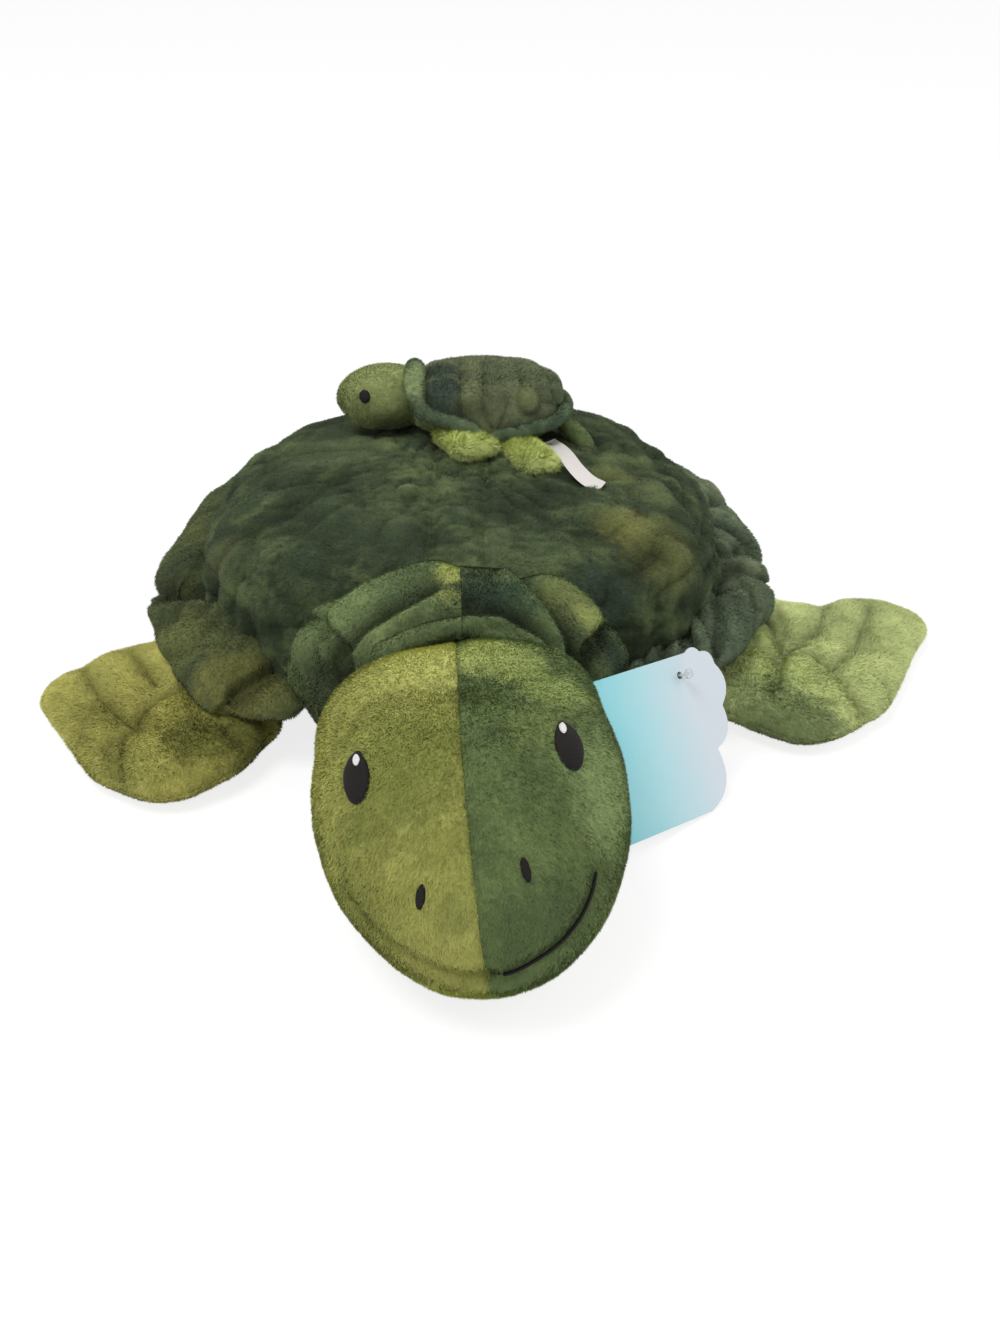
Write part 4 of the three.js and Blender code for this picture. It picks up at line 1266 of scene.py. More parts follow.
# Each crease: a line in the picture, its depth, and its widths left and right of it
RIM_CREASES = {
    "left": [
        ([(704, 524), (720, 526), (733, 531), (750, 541)], 6.5, 4, 7),
        ([(711, 548), (735, 548), (752, 552), (768, 563)], 5.5, 4, 7),
        ([(708, 582), (722, 571), (738, 565), (754, 567), (771, 581)], 8.5, 4, 6),
        ([(716, 588), (735, 582), (752, 590), (760, 606)], 4.5, 4, 5),
        ([(686, 600), (677, 622), (665, 636), (663, 652)], 5.0, 4, 4),
        ([(681, 613), (686, 632), (698, 654)], 6.0, 4, 4),
        ([(716, 598), (719, 625), (717, 650)], 6.0, 7, 3.5),
        ([(676, 455), (660, 452), (645, 459)], 6.0, 5, 5),
        ([(718, 500), (702, 503), (690, 512)], 7.0, 5, 6),
        ([(700, 474), (684, 478), (672, 488)], 3.5, 5, 6),
    ],
    "right": [
        ([(146, 598), (170, 594), (200, 593), (225, 597), (242, 608), (262, 633)], 13.0, 14, 3.5),
        ([(286, 654), (265, 667), (245, 680), (230, 694)], 8.0, 12, 3),
        ([(208, 545), (200, 560), (186, 574)], 3.5, 6, 6),
        ([(166, 657), (187, 647), (210, 623)], 3.0, 6, 6),
        ([(212, 694), (222, 676), (246, 664), (276, 655)], 2.4, 7, 7),
        ([(160, 622), (195, 612), (240, 616)], 2.0, 7, 7),
    ],
}
RIM_LOWEST = 14
rim_skins = {}
for side_name, side, seed in (("left", 1, 41), ("right", -1, 42)):
    skin = Skin(rim_at(**RIM_SHAPES[side_name]), 330, 92)
    points = skin.points
    bearing = np.arctan2(points[..., 1], points[..., 0] * side)
    turn = (np.arange(points.shape[1]) / points.shape[1] + 0.5) % 1 - 0.5
    around = np.broadcast_to(2 * np.pi * turn, bearing.shape)

    # The roll is twisted, so that its folds run round it at a slant
    twisted = xyz(bearing * 165 - 15 * around, 6.5 * around, 0)
    folds = 5.0 if side_name == "left" else 2.2
    skin.push(
        1.8 * soft_noise(points, 26, seed)
        + folds * (billows(twisted, 17, seed + 1) - 0.5)
        + 0.8 * soft_noise(twisted, 7, seed + 2)
    )
    skin.creases(RIM_CREASES[side_name])
    skin.keep_above(RIM_LOWEST)
    rim_skins[side_name] = skin

print("rims", {name: skin.points.shape for name, skin in rim_skins.items()})

# %% [markdown]
# ### Cloths and pieces of the rim
#
# The left side's cloth is painted greyer, as painted sheen where light falls along
# its pile, and the right side is browner and darker. They are two cloths here,
# because one cloth with a mask would be harder to read.

# %% Rim pieces
rim_green = {
    "left": plush(
        "rim_green_left", (44, 55, 44), (74, 84, 65), (102, 110, 85), seed=5,
        patch=48, relief_shade_and_highlight=0.45,
    ),
    "right": plush(
        "rim_green_right", (40, 48, 32), (58, 65, 42), (82, 88, 52), seed=6,
        patch=48, skin=rim_skins["right"],
        spots=[((240, 690), 30, (96, 97, 54), 0.85),
               ((180, 640), 26, (88, 92, 54), 0.65),
               ((180, 560), 24, (44, 51, 36), 0.7)],
    ),
}


def rim_nap(root):
    return xyz(root[:, 0], root[:, 1], -70)


for side_name in ("left", "right"):
    sew("plush_rim_" + side_name, rim_skins[side_name], rim_green[side_name], SHORT,
        rim_nap, slot="rim_plush", stands_for=["rim_" + side_name], seed=43, tuck=0)

# %% [markdown]
# ## The collar
#
# The neck is a stuffed sleeve that rises in a thick lip over the shell's front
# edge and runs down to the head in folds. Its two halves meet at a seam on top.
# Cloth simulation gives folds, but not these folds, so each crease is pressed in
# along the line that it has in the picture.


# %% Collar
COLLAR_SEAM_X = 2
# The lip over the shell and the end at the head: middle, half width, half height
LIP = (COLLAR_SEAM_X, -122, 48), 81, 62
HEAD_END = (5, -211, 67), 50, 51


def collar_at(side):
    """along runs from the middle seam down one side, and turn goes round the wall."""
    def arch(centre, half_width, half_height, out_x, out_z):
        x, y, z = centre
        return xyz(x + half_width * out_x, y, z + half_height * out_z)

    def place(along, turn):
        along, turn = np.broadcast_arrays(along, turn)
        bearing = np.radians(90 - 124 * along)
        out_x, out_z = side * np.cos(bearing), np.sin(bearing)
        lip, end = arch(*LIP, out_x, out_z), arch(*HEAD_END, out_x, out_z)
        lip[..., 1] -= 20 * np.clip(out_z, 0, None)
        slope = end - lip
        radial = xyz(out_x, 0, out_z)
        out = -slope[..., 1:2] * radial
        out[..., 1] = (slope * radial).sum(-1)
        out = unit(out)
        upper = np.where(turn < 0.7, turn / 1.4, 0.5 + (turn - 0.7) / 0.6)
        angle = 2 * np.pi * upper
        closing = np.sqrt(np.clip((1 - along) / 0.12, 0.0004, 1))
        share = 0.5 - 0.5 * np.cos(angle) * closing
        lip_swell = 2.5 * bell(share - 0.1, 0.15)
        thick = (7.5 + lip_swell) * np.sin(angle) * closing + 1.0
        thick = thick - 3 * np.clip(share - 0.72, 0, 1)
        return lip + slope * share[..., None] + out * thick[..., None]

    return place


# %% [markdown]
# ### Folds of the collar
#
# Where the sleeve bends it has deep creases with ridges between them. Each half is a
# skin of its own, which would leave a step where they meet, so both are drawn to one
# curve at the middle seam, as sewn panels share their edge.

# %% Collar folds
# Each fold: a line in the picture, its depth (below 0 for a ridge), and its widths
COLLAR_FOLDS = {
    "right": [
        ([(456, 573), (430, 573), (395, 584), (363, 600), (338, 620), (324, 645)], -6.0, 9, 9),
        ([(440, 590), (422, 609), (397, 622), (374, 639), (362, 655)], -4.5, 4, 5),
        ([(456, 628), (420, 634), (385, 652)], -4.5, 6, 7),
        ([(322, 624), (308, 648), (299, 680)], -9.0, 10, 10),
        ([(346, 668), (352, 650), (362, 636), (378, 621), (398, 611), (418, 602), (434, 588)],
         9.0, 13, 4.5),
        ([(325, 622), (334, 639), (338, 652), (342, 668)], 8.0, 4, 11),
        ([(456, 608), (430, 617), (405, 626), (387, 634)], 4.0, 6, 5),
        ([(290, 690), (305, 672), (322, 664)], 4.0, 10, 10),
    ],
    "left": [
        ([(508, 580), (516, 590), (532, 606), (550, 624), (562, 643), (568, 665)], -6.0, 5, 7),
        ([(525, 578), (552, 588), (580, 606), (596, 628)], -6.0, 8, 8),
        ([(462, 621), (497, 622), (520, 629), (545, 644), (560, 662)], -4.5, 4, 4),
        ([(460, 640), (500, 640), (535, 648)], -3.5, 5, 5),
        ([(614, 636), (620, 655)], -5.0, 7, 7),
        ([(513, 574), (520, 583), (531, 594), (553, 613), (568, 632), (576, 652), (578, 674)],
         9.5, 11, 4),
        ([(457, 611), (476, 614), (497, 614), (514, 620), (531, 628), (547, 638), (560, 656)],
         8.0, 13, 4),
        ([(606, 622), (597, 636), (591, 650), (590, 674)], 9.0, 10, 3.5),
        ([(462, 630), (500, 629), (520, 634), (542, 645)], 3.0, 4, 4),
        ([(622, 640), (630, 650), (638, 664)], 5.0, 4, 4),
    ],
}
collar_skins = {}
for side_name, side, seed in (("left", 1, 51), ("right", -1, 52)):
    skin = Skin(collar_at(side), 200, 150)
    skin.push(
        1.2 * soft_noise(skin.points, 24, seed) + 0.4 * soft_noise(skin.points, 10, seed + 1)
    )
    skin.creases(COLLAR_FOLDS[side_name])
    skin.push(-0.5 * bell(skin.points[..., 0] - COLLAR_SEAM_X, 2.0))
    skin.keep_above(1.0)
    collar_skins[side_name] = skin

# The two halves end in one curve at the middle seam, halfway between their own ends
shared_edge = sum(skin.points[0] for skin in collar_skins.values()) / 2
for skin in collar_skins.values():
    near_seam = bell(skin.points[..., 0] - COLLAR_SEAM_X, 9)[..., None]
    skin.points = skin.points + (shared_edge - skin.points[0]) * near_seam

print("shared edge of", len(shared_edge), "points")

# %% [markdown]
# ### Cloths and pieces of the collar
#
# The lip is painted paler, as painted highlight where light falls on its top, and
# the folds by the head are painted darker than their shadows make them, as painted
# shade.

# %% Collar pieces
collar_green = {
    "right": plush(
        "collar_green_right", (52, 63, 41), (74, 85, 55), (100, 112, 72),
        patch=34, seed=7, contrast=0.22, relief_shade_and_highlight=0.75, skin=collar_skins["right"],
        # (452, 572) and (446, 592) are painted highlight on the lip's top
        spots=[((452, 572), 10, (132, 136, 76), 0.7),
               ((446, 592), 9, (116, 122, 68), 0.55),
               ((345, 604), 26, (96, 110, 72), 0.45),
               ((400, 598), 14, (62, 76, 50), 0.5),
               # Painted shade on the collar's side beside the head
               ((325, 700), 24, (44, 52, 34), 0.8)],
    ),
    "left": plush(
        "collar_green_left", (42, 54, 40), (62, 74, 48), (88, 100, 64),
        patch=34, seed=8, contrast=0.22, relief_shade_and_highlight=0.75, skin=collar_skins["left"],
        spots=[((482, 590), 17, (40, 54, 42), 0.9),
               ((508, 602), 12, (42, 56, 42), 0.7),
               ((565, 596), 18, (92, 98, 58), 0.7),
               ((592, 620), 10, (118, 124, 70), 0.55),
               ((545, 625), 8, (80, 92, 58), 0.5),
               # Painted shade on the collar's side beside the head
               ((612, 655), 14, (44, 56, 44), 0.8)],
    ),
}


def collar_nap(root):
    return xyz(root[:, 0] * 0.6, -60, root[:, 2] * 0.1 - 30)


for side_name in ("left", "right"):
    also = ["neck_filling"] if side_name == "left" else []
    sew("plush_collar_" + side_name, collar_skins[side_name], collar_green[side_name],
        Pile(3.6, 1.7, 0.42, lean=36, clump=3.5, wild=0.3), collar_nap, slot="rim_plush",
        stands_for=["ruff_" + side_name] + also, seed=53, tuck=0.3)

# %% [markdown]
# ## The flippers
#
# A flipper is two panels sewn round their edge and filled, like a flat pillow,
# then quilted: lines of stitches through the filling, which pull the cloth down
# into grooves and notch the edge where they meet it. The quilting of the front
# pair is laid where the picture shows it. A flipper's panels are joined to no
# body, and their places are baked into their meshes.


# %% Flippers
FLIPPERS = {
    "front_flipper_left": dict(
        side=1, reach=95, half_width=84, half_thickness=16, root=(160, -48), heading=-16.6,
        tip=0.5, outline=[(-0.36, -0.56), (0.1, -0.8), (0.48, -0.9), (0.84, -0.42), (0.95, 0.36),
                          (1, 0.86), (0.66, 1), (0.17, 0.62), (-0.36, 0.5)],
    ),
    "front_flipper_right": dict(
        side=-1, reach=76, half_width=65, half_thickness=16, root=(138, -95), heading=-38,
        tip=0.6, outline=[(-0.2, -0.66), (0, -0.9), (0.4, -1.1), (0.84, -1), (1.04, -0.44),
                          (1, 0.2), (0.92, 0.8), (0.6, 1), (0.05, 0.88), (-0.2, 0.6)],
    ),
}
for side_name, side in (("left", 1), ("right", -1)):
    FLIPPERS["rear_flipper_" + side_name] = dict(
        side=side, reach=66, half_width=38, half_thickness=14.5, root=(98, 156), heading=60,
        tip=0.6, outline=[(-0.42, -0.6), (0.25, -0.8), (0.8, -0.55), (1, 0.15), (0.8, 0.8),
                          (0.3, 0.9), (-0.42, 0.65)],
    )

print(len(FLIPPERS), "flippers")

# %% [markdown]
# ### The form of a flipper
#
# Two flat panels filled until they bulge make a lens with a sharp edge. A solver
# could blow them up. A curve from the middle to the edge gives the same section, and
# keeps to the solid's height.

# %% Flipper form
CENTRE_SHARE = 0.42


def to_world(points, spec):
    """From a flipper's own plan, which runs out along X, to its place on the toy."""
    thinner = spec["half_thickness"] * (1 - spec["tip"])
    droop = math.degrees(math.atan2(thinner, spec["reach"]))
    points = turned(turned(points, 1, droop), 2, spec["heading"])
    points = points * (spec["side"], 1, 1)
    return points + (spec["side"] * spec["root"][0], spec["root"][1], spec["half_thickness"])


def pillow_at(spec):
    shares = np.array(spec["outline"]) * (spec["reach"], spec["half_width"])
    edge = smooth_line(shares, 480, closed=True)
    edge = np.concatenate([edge, edge[:1]])
    steps = np.linspace(0, 1, len(edge))
    middle = spec["reach"] * CENTRE_SHARE

    def place(along, turn):
        x = np.interp(turn, steps, edge[:, 0])
        y = np.interp(turn, steps, edge[:, 1])
        spread = np.sin(np.pi * (0.004 + 0.992 * along))
        x, y = middle + (x - middle) * spread, y * spread
        full = 1 + (spec["tip"] - 1) * np.clip(x, 0, None) / spec["reach"]
        swell = np.sqrt(np.clip(1 - spread ** (2 / 0.7), 0, 1)) * np.sign(0.5 - along)
        z = swell * spec["half_thickness"] * full
        return to_world(xyz(x, y, z), spec)

    return place


# %% [markdown]
# ### Quilting and folds
#
# A line of stitches pulls the cloth down sharply on both its sides, unlike a fold,
# so the quilted lines are pressed in as sharp creases and the folds as round ones.

# %% Flipper quilting
QUILTING = {
    "front_flipper_left": [
        [(824, 600), (822, 617), (815, 628), (803, 637), (784, 649)],
        [(784, 649), (800, 647), (813, 650), (823, 657), (832, 665)],
        [(870, 604), (865, 622), (857, 642), (845, 653), (832, 665)],
        [(832, 665), (843, 676), (854, 692), (867, 710)],
        [(784, 649), (777, 633), (767, 618), (757, 610)],
    ],
    "front_flipper_right": [
        [(83, 664), (95, 688), (107, 700), (120, 713), (135, 723)],
        [(131, 648), (140, 657), (148, 668), (156, 680)],
        [(135, 723), (140, 711), (150, 699), (163, 691), (182, 682)],
        [(135, 723), (124, 731), (119, 740), (116, 756), (117, 776)],
    ],
}

# Soft folds of the filling: a line, its depth, and its widths left and right of it
FLIPPER_FOLDS = {
    "front_flipper_left": [
        ([(784, 649), (781, 664), (777, 684)], 4.5, 3, 7),
        ([(744, 616), (752, 630), (768, 642), (782, 650)], -3.0, 4, 4),
        ([(776, 604), (781, 618), (786, 632)], 2.5, 4, 4),
        ([(864, 648), (882, 648), (902, 655)], 1.6, 4, 4),
        ([(876, 672), (886, 684), (892, 696)], 1.6, 4, 4),
    ],
    "front_flipper_right": [
        ([(102, 702), (86, 716), (78, 740)], 1.8, 5, 5),
        ([(108, 738), (104, 756), (108, 774)], 2.2, 4, 4),
        ([(190, 690), (194, 706), (202, 724)], 2.2, 5, 5),
        ([(215, 716), (228, 730), (240, 740)], 2.0, 5, 5),
    ],
}
FLIPPER_ROWS = 150
flipper_skins = {}
for number, (name, spec) in enumerate(FLIPPERS.items()):
    skin = Skin(pillow_at(spec), FLIPPER_ROWS, 340)
    skin.push(2.6 + 1.2 * soft_noise(skin.points, 24, 60 + number)
              + 0.5 * soft_noise(skin.points, 9, 70 + number))
    if name in QUILTING:
        skin.crease(QUILTING[name], 6.0, 5.0, sharp=True)
        skin.creases(FLIPPER_FOLDS[name])
    skin.keep_above(FLOOR_GAP)
    flipper_skins[name] = skin

print("quilted", ", ".join(QUILTING))

# %% [markdown]
# ### Cloths and panels of the flippers
#
# Each side has its own dye, and the rear flipper is cut from the same cloth as the
# front one. A skin is cut at its middle row into a top and an under panel.

# %% Flipper panels
flipper_green = {
    "front_flipper_left": plush(
        "sage_plush", (126, 136, 89), (148, 157, 105), (168, 175, 122),
        patch=36, seed=9, relief_shade_and_highlight=0.4, skin=flipper_skins["front_flipper_left"],
        spots=[((800, 735), 32, (88, 100, 64), 0.8),
               ((760, 700), 24, (96, 108, 70), 0.65),
               ((905, 610), 18, (134, 140, 88), 0.6)],
    ),
    "front_flipper_right": plush(
        "olive_plush", (118, 117, 60), (140, 137, 74), (156, 154, 88),
        patch=36, seed=10, relief_shade_and_highlight=0.4, skin=flipper_skins["front_flipper_right"],
        spots=[((125, 775), 26, (116, 118, 64), 0.5),
               ((100, 678), 16, (122, 120, 66), 0.6),
               ((190, 740), 18, (84, 86, 42), 0.75),
               ((245, 735), 24, (84, 86, 42), 0.8)],
    ),
}
for side_name in ("left", "right"):
    flipper_green["rear_flipper_" + side_name] = flipper_green["front_flipper_" + side_name]


def part_of(skin, first, last):
    """Some of a skin's rows, as a skin of its own."""
    piece = Skin.__new__(Skin)
    piece.points, piece.relief = skin.points[first:last], skin.relief[first:last]
    piece.smooth, piece.outward = None, skin.outward
    return piece


for number, (name, skin) in enumerate(flipper_skins.items()):
    spec = FLIPPERS[name]
    outwards = to_world(np.array([1.0, 0, 0]), spec) - to_world(np.zeros(3), spec)
    root = to_world(np.zeros(3), spec)

    def flipper_nap(places, root=root):
        return (places - root) * (1, 1, 0)

    half_way = FLIPPER_ROWS // 2
    for half, first, last, pile, also in (
        ("_top_panel", 0, half_way + 1, FLIPPER, [name + "_filling"]),
        ("_under_panel", half_way, FLIPPER_ROWS, SHORT, []),
    ):
        piece = sew(
            "plush_" + name + half, part_of(skin, first, last), flipper_green[name], pile,
            flipper_nap, slot="flipper_plush", body=None, stands_for=[name + half] + also,
            seed=80 + number, tuck=1.0,
            length_at=lambda places: np.clip((places[:, 2] - 1) / 6, 0.1, 1),
        )
        tuple((root - outwards * 12) * METRES)
        tuple((root + outwards * 16) * METRES)
        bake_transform(piece)

# %% [markdown]
# ## The tail
#
# A small stuffed point under the back of the rim.


# %% Tail
def egg_at(half_length, half_width, half_height, back=1.0):
    """An egg along X."""
    def place(along, turn):
        lift = np.pi * (0.006 + 0.988 * along - 0.5)
        reach = np.where(lift > 0, half_length * back, half_length)
        x = reach * np.sin(lift)
        y = half_width * np.cos(lift) * np.cos(2 * np.pi * turn)
        z = half_height * np.cos(lift) * np.sin(2 * np.pi * turn)
        return xyz(x, y, z)

    return place


tail_skin = Skin(egg_at(52, 15, 9), 60, 60)
tail_skin.push(0.7 * soft_noise(tail_skin.points, 12, 91))
tail_skin.points = turned(tail_skin.points, 2, 90) + (0, 172, 20)
sew("plush_tail", tail_skin, flipper_green["rear_flipper_left"], SHORT, (0, 1, -0.2),
    slot="flipper_plush", stands_for=["tail"], seed=91)

# %% [markdown]
# ## The little turtle
#
# The little turtle is the big one's shape again at about a quarter of the size,
# sewn down on the shell. Its pile is as long as the big one's, so it looks
# fluffier, most of all on its flippers. Its shell is quilted, and one of the
# shell's scales is an oval of stitches.


# %% Little turtle
BABY_MIDDLE = np.array([12.5, 50.0, 125.0])
BABY_HALF_LENGTH, BABY_HALF_WIDTH = 46, 35


def bun_at(height, power, low, high):
    """Part of the little turtle's body, from low to high in degrees of its arc."""
    def place(along, turn):
        lift = np.radians(low + (high - low) * along)
        angle = np.arctan(np.tan(lift) * BABY_HALF_LENGTH / abs(height))
        out, up = squared_circle(angle, power)
        x = BABY_HALF_LENGTH * np.cos(2 * np.pi * turn) * out
        y = BABY_HALF_WIDTH * np.sin(2 * np.pi * turn) * out
        return xyz(x, y, height * up) + BABY_MIDDLE

    return place


baby_shell = Skin(bun_at(22.8, 5.4, -4, 89.6), 110, 320)
baby_shell.push(
    0.9 * soft_noise(baby_shell.points, 13, 101) + 0.4 * soft_noise(baby_shell.points, 6, 99)
)
BABY_SCALE = [(518, 400), (520, 388), (529, 382), (539, 388), (542, 402), (536, 414), (525, 415)]
BABY_SEAMS = [
    [(458, 362), (459, 380), (457, 398), (462, 422)],
    [(482, 360), (483, 385), (482, 410), (492, 432)],
    smooth_line(BABY_SCALE, 30, closed=True).tolist() + [BABY_SCALE[0]],
    [(541, 402), (552, 404), (563, 409)],
    [(522, 386), (519, 374), (516, 362)],
    [(426, 363), (424, 378), (424, 398), (427, 418)],
    [(538, 364), (549, 378), (557, 404)],
    [(510, 396), (505, 412), (498, 430)],
]
baby_shell.crease(BABY_SEAMS, 2.6, 2.6, sharp=True)
baby_belly = Skin(bun_at(-12, 2.4, 0, 89.6), 30, 120)

print("little shell of", baby_shell.points.shape, "points")

# %% [markdown]
# ### The little turtle's rim and head
#
# Its rim is a thin tube sewn round the shell. It isn't level: it arches up behind
# the head and has a notch on the near side. A level ring would be simpler, but the
# arch is what makes the head look tucked in.

# %% Little rim and head
# The rim is a tube round the shell, pinched into a notch on the near side
RIM_X = [-38, -31, -24, -5, 8, 14, 20, 30, 41, 60]
RIM_Z = [137, 136, 131, 129, 126, 120, 121.5, 123, 125, 126]


def baby_rim_at(along, turn):
    middle_x, middle_y = BABY_MIDDLE[:2]
    bearing, angle = 2 * np.pi * turn, 2 * np.pi * along
    across, ahead = squared_circle(bearing, 2.5)
    arch = bell(bearing - np.pi, 0.62)
    x, y = middle_x + 48 * across + 8 * arch, middle_y + 37.5 * ahead
    z = np.interp(x - 8 * arch, RIM_X, RIM_Z) + 10 * arch
    pinch = np.where(y < middle_y, bell(x - 14, 5), 0)
    radius = 3.6 - 0.6 * pinch + 2.6 * arch
    reach = 1 + radius * np.cos(angle) / 44
    return xyz(middle_x + (x - middle_x) * reach,
               middle_y + (y - middle_y) * reach - 2 * pinch, z + radius * np.sin(angle))


baby_rim = Skin(baby_rim_at, 33, 300)
from_middle = baby_rim.points - BABY_MIDDLE
edge_turn = np.arctan2(from_middle[..., 1], from_middle[..., 0])
baby_rim.push(0.5 * soft_noise(baby_rim.points, 8, 102) + 0.25 * np.sin(edge_turn * 30))
baby_head = Skin(egg_at(27, 20, 18.5, 1.05), 90, 120)
baby_head.push(0.7 * soft_noise(baby_head.points, 14, 103))
baby_head.points = baby_head.points + (-46, 50, 131.5)

print("little rim from", baby_rim.points[..., 2].min(), "to", baby_rim.points[..., 2].max())

# %% [markdown]
# ### The little turtle's cloths and pieces
#
# Five cloths, dyed in clouds as the big turtle's: one for the shell, one for its
# rim, one for head and belly, one for the tail, and the palest for the flippers.

# %% Little pieces
baby_green = plush(
    "baby_green_plush", (92, 101, 62), (112, 120, 76), (132, 140, 92),
    patch=22, seed=11, skin=baby_head,
    spots=[((372, 372), 16, (130, 138, 90), 0.5),
           ((395, 425), 14, (76, 86, 54), 0.6)],
)
baby_dark = plush(
    "baby_dark_plush", (68, 76, 58), (86, 93, 68), (104, 110, 80),
    patch=20, seed=12, skin=baby_shell,
    spots=[((440, 370), 14, (50, 60, 52), 0.95),
           ((441, 386), 14, (52, 62, 53), 0.95),
           ((444, 402), 13, (56, 66, 56), 0.85),
           ((414, 395), 9, (106, 116, 80), 0.7),
           ((471, 398), 9, (92, 97, 66), 0.6),
           ((527, 399), 9, (104, 112, 74), 0.6),
           ((556, 385), 12, (70, 80, 60), 0.6)],
)
baby_teal = plush(
    "baby_rim_plush", (56, 70, 54), (74, 88, 66), (92, 104, 78), patch=20,
    seed=14, skin=baby_rim,
    spots=[((414, 378), 15, (122, 136, 94), 0.9)],
)
baby_bright = plush("baby_bright_plush", (150, 158, 98), (168, 176, 112),
                    (188, 194, 134), patch=18, seed=13)
baby_tail_green = plush("baby_tail_plush", (68, 82, 52), (88, 102, 64),
                        (108, 120, 78), patch=14, seed=15)


def baby_nap(root):
    return xyz(40, (root[:, 1] - BABY_MIDDLE[1]) * 0.8, -12)


BABY_PILE = Pile(per_mm=5.0, length=1.9, width=0.4, lean=36, clump=3.5, wild=0.35)
baby_tail = Skin(egg_at(15, 8.5, 5.5), 40, 50)
baby_tail.points = turned(baby_tail.points, 1, 46) + (67, 46, 108.5)
for name, skin, finish, slot_name in (
    ("shell", baby_shell, baby_dark, "baby_shell_plush"),
    ("belly", baby_belly, baby_green, "baby_plush"),
    ("rim", baby_rim, baby_teal, "baby_shell_plush"),
    ("head", baby_head, baby_green, "baby_plush"),
    ("tail", baby_tail, baby_tail_green, "baby_plush"),
):
    sew("plush_baby_" + name, skin, finish, BABY_PILE, baby_nap, body="baby", slot=slot_name,
        stands_for=["baby_" + name], seed=104, tuck=0)
patch("stitched_baby_eye_left", almond((365, 396.5), 5.4, 6.6, -10, 0), "black_thread",
      1.2, 0.6, "baby", baby_head.tree())

# %% [markdown]
# ### The little turtle's flippers
#
# They are small pillows under long, wild pile. The pile hides their quilting, so
# they have none, and one form serves all four.

# %% Little flippers
BABY_OUTLINE = [(-0.35, -0.6), (0.3, -0.75), (0.95, -0.8), (1, 0), (0.95, 0.8), (0.3, 0.75),
                (-0.35, 0.6)]
BABY_FLUFF = Pile(per_mm=6.5, length=4.4, width=0.42, lean=40, spread=42, clump=4.0, wild=0.9)
BABY_FLIPPER_RISE = 4.5
BABY_FLIPPERS = (
    ("baby_front_flipper_left", (-3, 20, 114.5), -60, 27, 14),
    ("baby_rear_flipper_left", (31, 17, 110.5), -66, 37, 12),
    ("baby_front_flipper_right", (-4, 80, 114.5), 58, 28, 13),
    ("baby_rear_flipper_right", (42, 72, 112.0), 72, 22, 12),
)
for number, (name, root, heading, reach, half_width) in enumerate(BABY_FLIPPERS):
    spec = dict(side=1, reach=reach, half_width=half_width, half_thickness=5.0, root=root[:2],
                heading=heading, tip=1, outline=BABY_OUTLINE)
    skin = Skin(pillow_at(spec), 50, 90)
    skin.points = skin.points + (0, 0, root[2] - spec["half_thickness"] + BABY_FLIPPER_RISE)
    skin.push(0.7 * soft_noise(skin.points, 9, 110 + number))
    if name == "baby_rear_flipper_left":
        rear_paddle = skin
    along = turned(np.array([1.0, 0, 0]), 2, heading)
    sew("plush_" + name, skin, baby_bright, BABY_FLUFF, tuple(along), body="baby",
        slot="baby_plush", stands_for=[name], seed=110 + number, tuck=0)

# %% [markdown]
# ## The care label
#
# A satin ribbon comes out from under the little turtle's rim and falls to the
# shell. It is thin, so it is one swept strip with a little thickness, and its
# weave shows only as fine ribs in the gloss. Its middle line is given by where it
# shows in the picture, laid on the flipper and the shell that it covers there.


# %% Label
LABEL_STEPS = 60
LABEL_HALF = 5.0
LABEL_HALF_THICKNESS = 0.22
LABEL_CURL = 0.9
LABEL_SEEN = smooth_line(
    [(547, 442), (556, 447), (565, 455), (575, 468), (587, 480), (601, 488)], LABEL_STEPS
)

# The label lies on the shell and on a flipper, above their pile by these lifts. Along
# the slanting line of sight a lift is longer
below = [(dome.tree(), 4.2), (rear_paddle.tree(), 6.0)]
SLANT = 1.6
rays = [unit(ray_through(pixel)) for pixel in LABEL_SEEN]
depths = []
for ray in rays:
    hits = [(tree.ray_cast(Vector(EYE), Vector(ray))[3], lift) for tree, lift in below]
    depths.append(min(far - lift * SLANT for far, lift in hits if far))

# A ribbon is too stiff for sharp bends, so its depths are evened out along it
BLUR_STEPS, BLUR_WIDTH = 15, 9
blur = bell(np.arange(-BLUR_STEPS, BLUR_STEPS + 1), BLUR_WIDTH)
depths = np.convolve(np.pad(depths, BLUR_STEPS, mode="edge"), blur / blur.sum(), "valid")
LABEL_PATH = np.array([EYE + ray * far for ray, far in zip(rays, depths)])


print("label's middle line goes from", LABEL_PATH[0].round(1), "to", LABEL_PATH[-1].round(1))

# %% [markdown]
# ### The ribbon itself
#
# A plane with a solidify modifier could make it. A swept strip with rounded edges
# curls a little across, as a ribbon does, and has real thickness.


# %% Ribbon
def label_at(along, turn):
    steps = np.linspace(0, 1, LABEL_STEPS)
    middle = np.stack([np.interp(along, steps, LABEL_PATH[:, i]) for i in range(3)], -1)
    ahead = unit(np.gradient(middle, axis=0))
    facing = np.array([0.12, -0.45, 0.88])
    wide = unit(np.cross(ahead, facing))
    over = np.cross(wide, ahead)
    closing = np.clip(np.minimum(along, 1 - along) / 0.012, 0.02, 1)[..., None]
    across, up = squared_circle(2 * np.pi * turn, 6)
    curl = LABEL_CURL * (across**2 - 0.5)
    return (middle + wide * (LABEL_HALF * across)[..., None] * closing
            + over * (LABEL_HALF_THICKNESS * up + curl)[..., None] * closing)


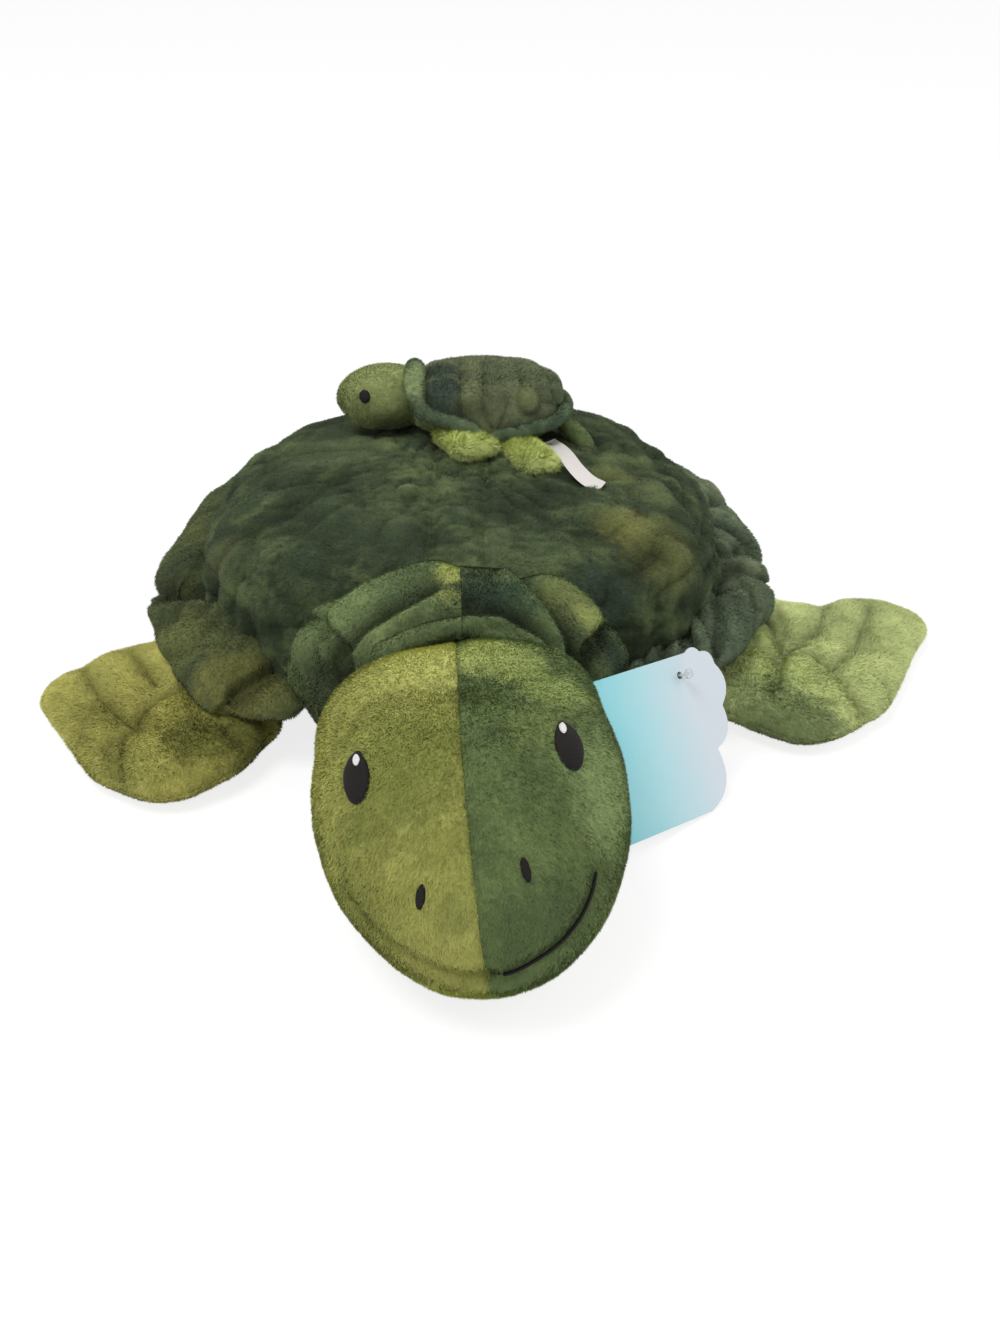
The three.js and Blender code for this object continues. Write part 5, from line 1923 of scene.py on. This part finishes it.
satin = Finish("satin_ribbon")
ribs = satin.cloud(satin.place() * (1.0, 1.0, 8.0), 1.2, 2.0, 0.6)
satin_finish = satin.surface(
    Base_Color=satin.blend(ribs, shade(204, 198, 193), shade(224, 219, 215)), Roughness=0.38,
    Normal=satin.bump(ribs, 0.08, 0.4), Sheen_Weight=0.1, Specular_IOR_Level=0.5,
)
label_skin = Skin(label_at, 90, 48)
label = sew("satin_care_label", label_skin, satin_finish, None, body="baby",
            slot="satin_ribbon", stands_for=["care_label"], tuck=0, fill=None)

# %% [markdown]
# ## The hang tag and its tie
#
# The card and its plastic pin already have their true shapes, so they keep their
# solids and only get a finish. The card's colour runs from turquoise by the head
# to a pale lavender at its lobed edge. Its print is left out.

# %% Tag
card = Finish("tag_card")
card_place = card.place()
CARD_WAY = (0.743, 0.656, -0.128)  # along the card, from its edge by the head
CARD_START = (59.6, -191, 77)
CARD_LENGTH = 78
along_card = card.node(
    "ShaderNodeVectorMath", {"operation": "DOT_PRODUCT"}, {0: card_place, 1: CARD_WAY}, 1
)
start = float(np.dot(CARD_WAY, CARD_START)) * METRES
cloudy = card.cloud(card_place, 40, 2.0, 0.5)
tone = (along_card - start) / (CARD_LENGTH * METRES) + (cloudy - 0.5) * 0.3
card_colour = card.ramp(
    tone,
    [(0.0, shade(118, 206, 216)), (0.5, shade(172, 214, 221)), (0.95, shade(206, 214, 222))],
)
card_finish = card.surface(Base_Color=card_colour, Roughness=0.35, Specular_IOR_Level=0.5)
clear = Finish("clear_plastic")
clear_finish = clear.surface(
    Base_Color=shade(232, 234, 234), Roughness=0.22, Transmission_Weight=0.6, IOR=1.46
)
for name, finish in (("hang_tag", card_finish), ("tag_tie", clear_finish),
                     ("baby_eye_right", THREADS["black_thread"])):
    node = bpy.data.objects[name]
    node.data.materials.clear()
    node.data.materials.append(finish)
    print(name, "keeps its solid")

# %% [markdown]
# ## The faces
#
# The faces of all the pieces are counted. The dressed toy should stay about as
# large as its solids.

# %% The count of faces, and the end
print("faces in all", sum(count for _, count in made))
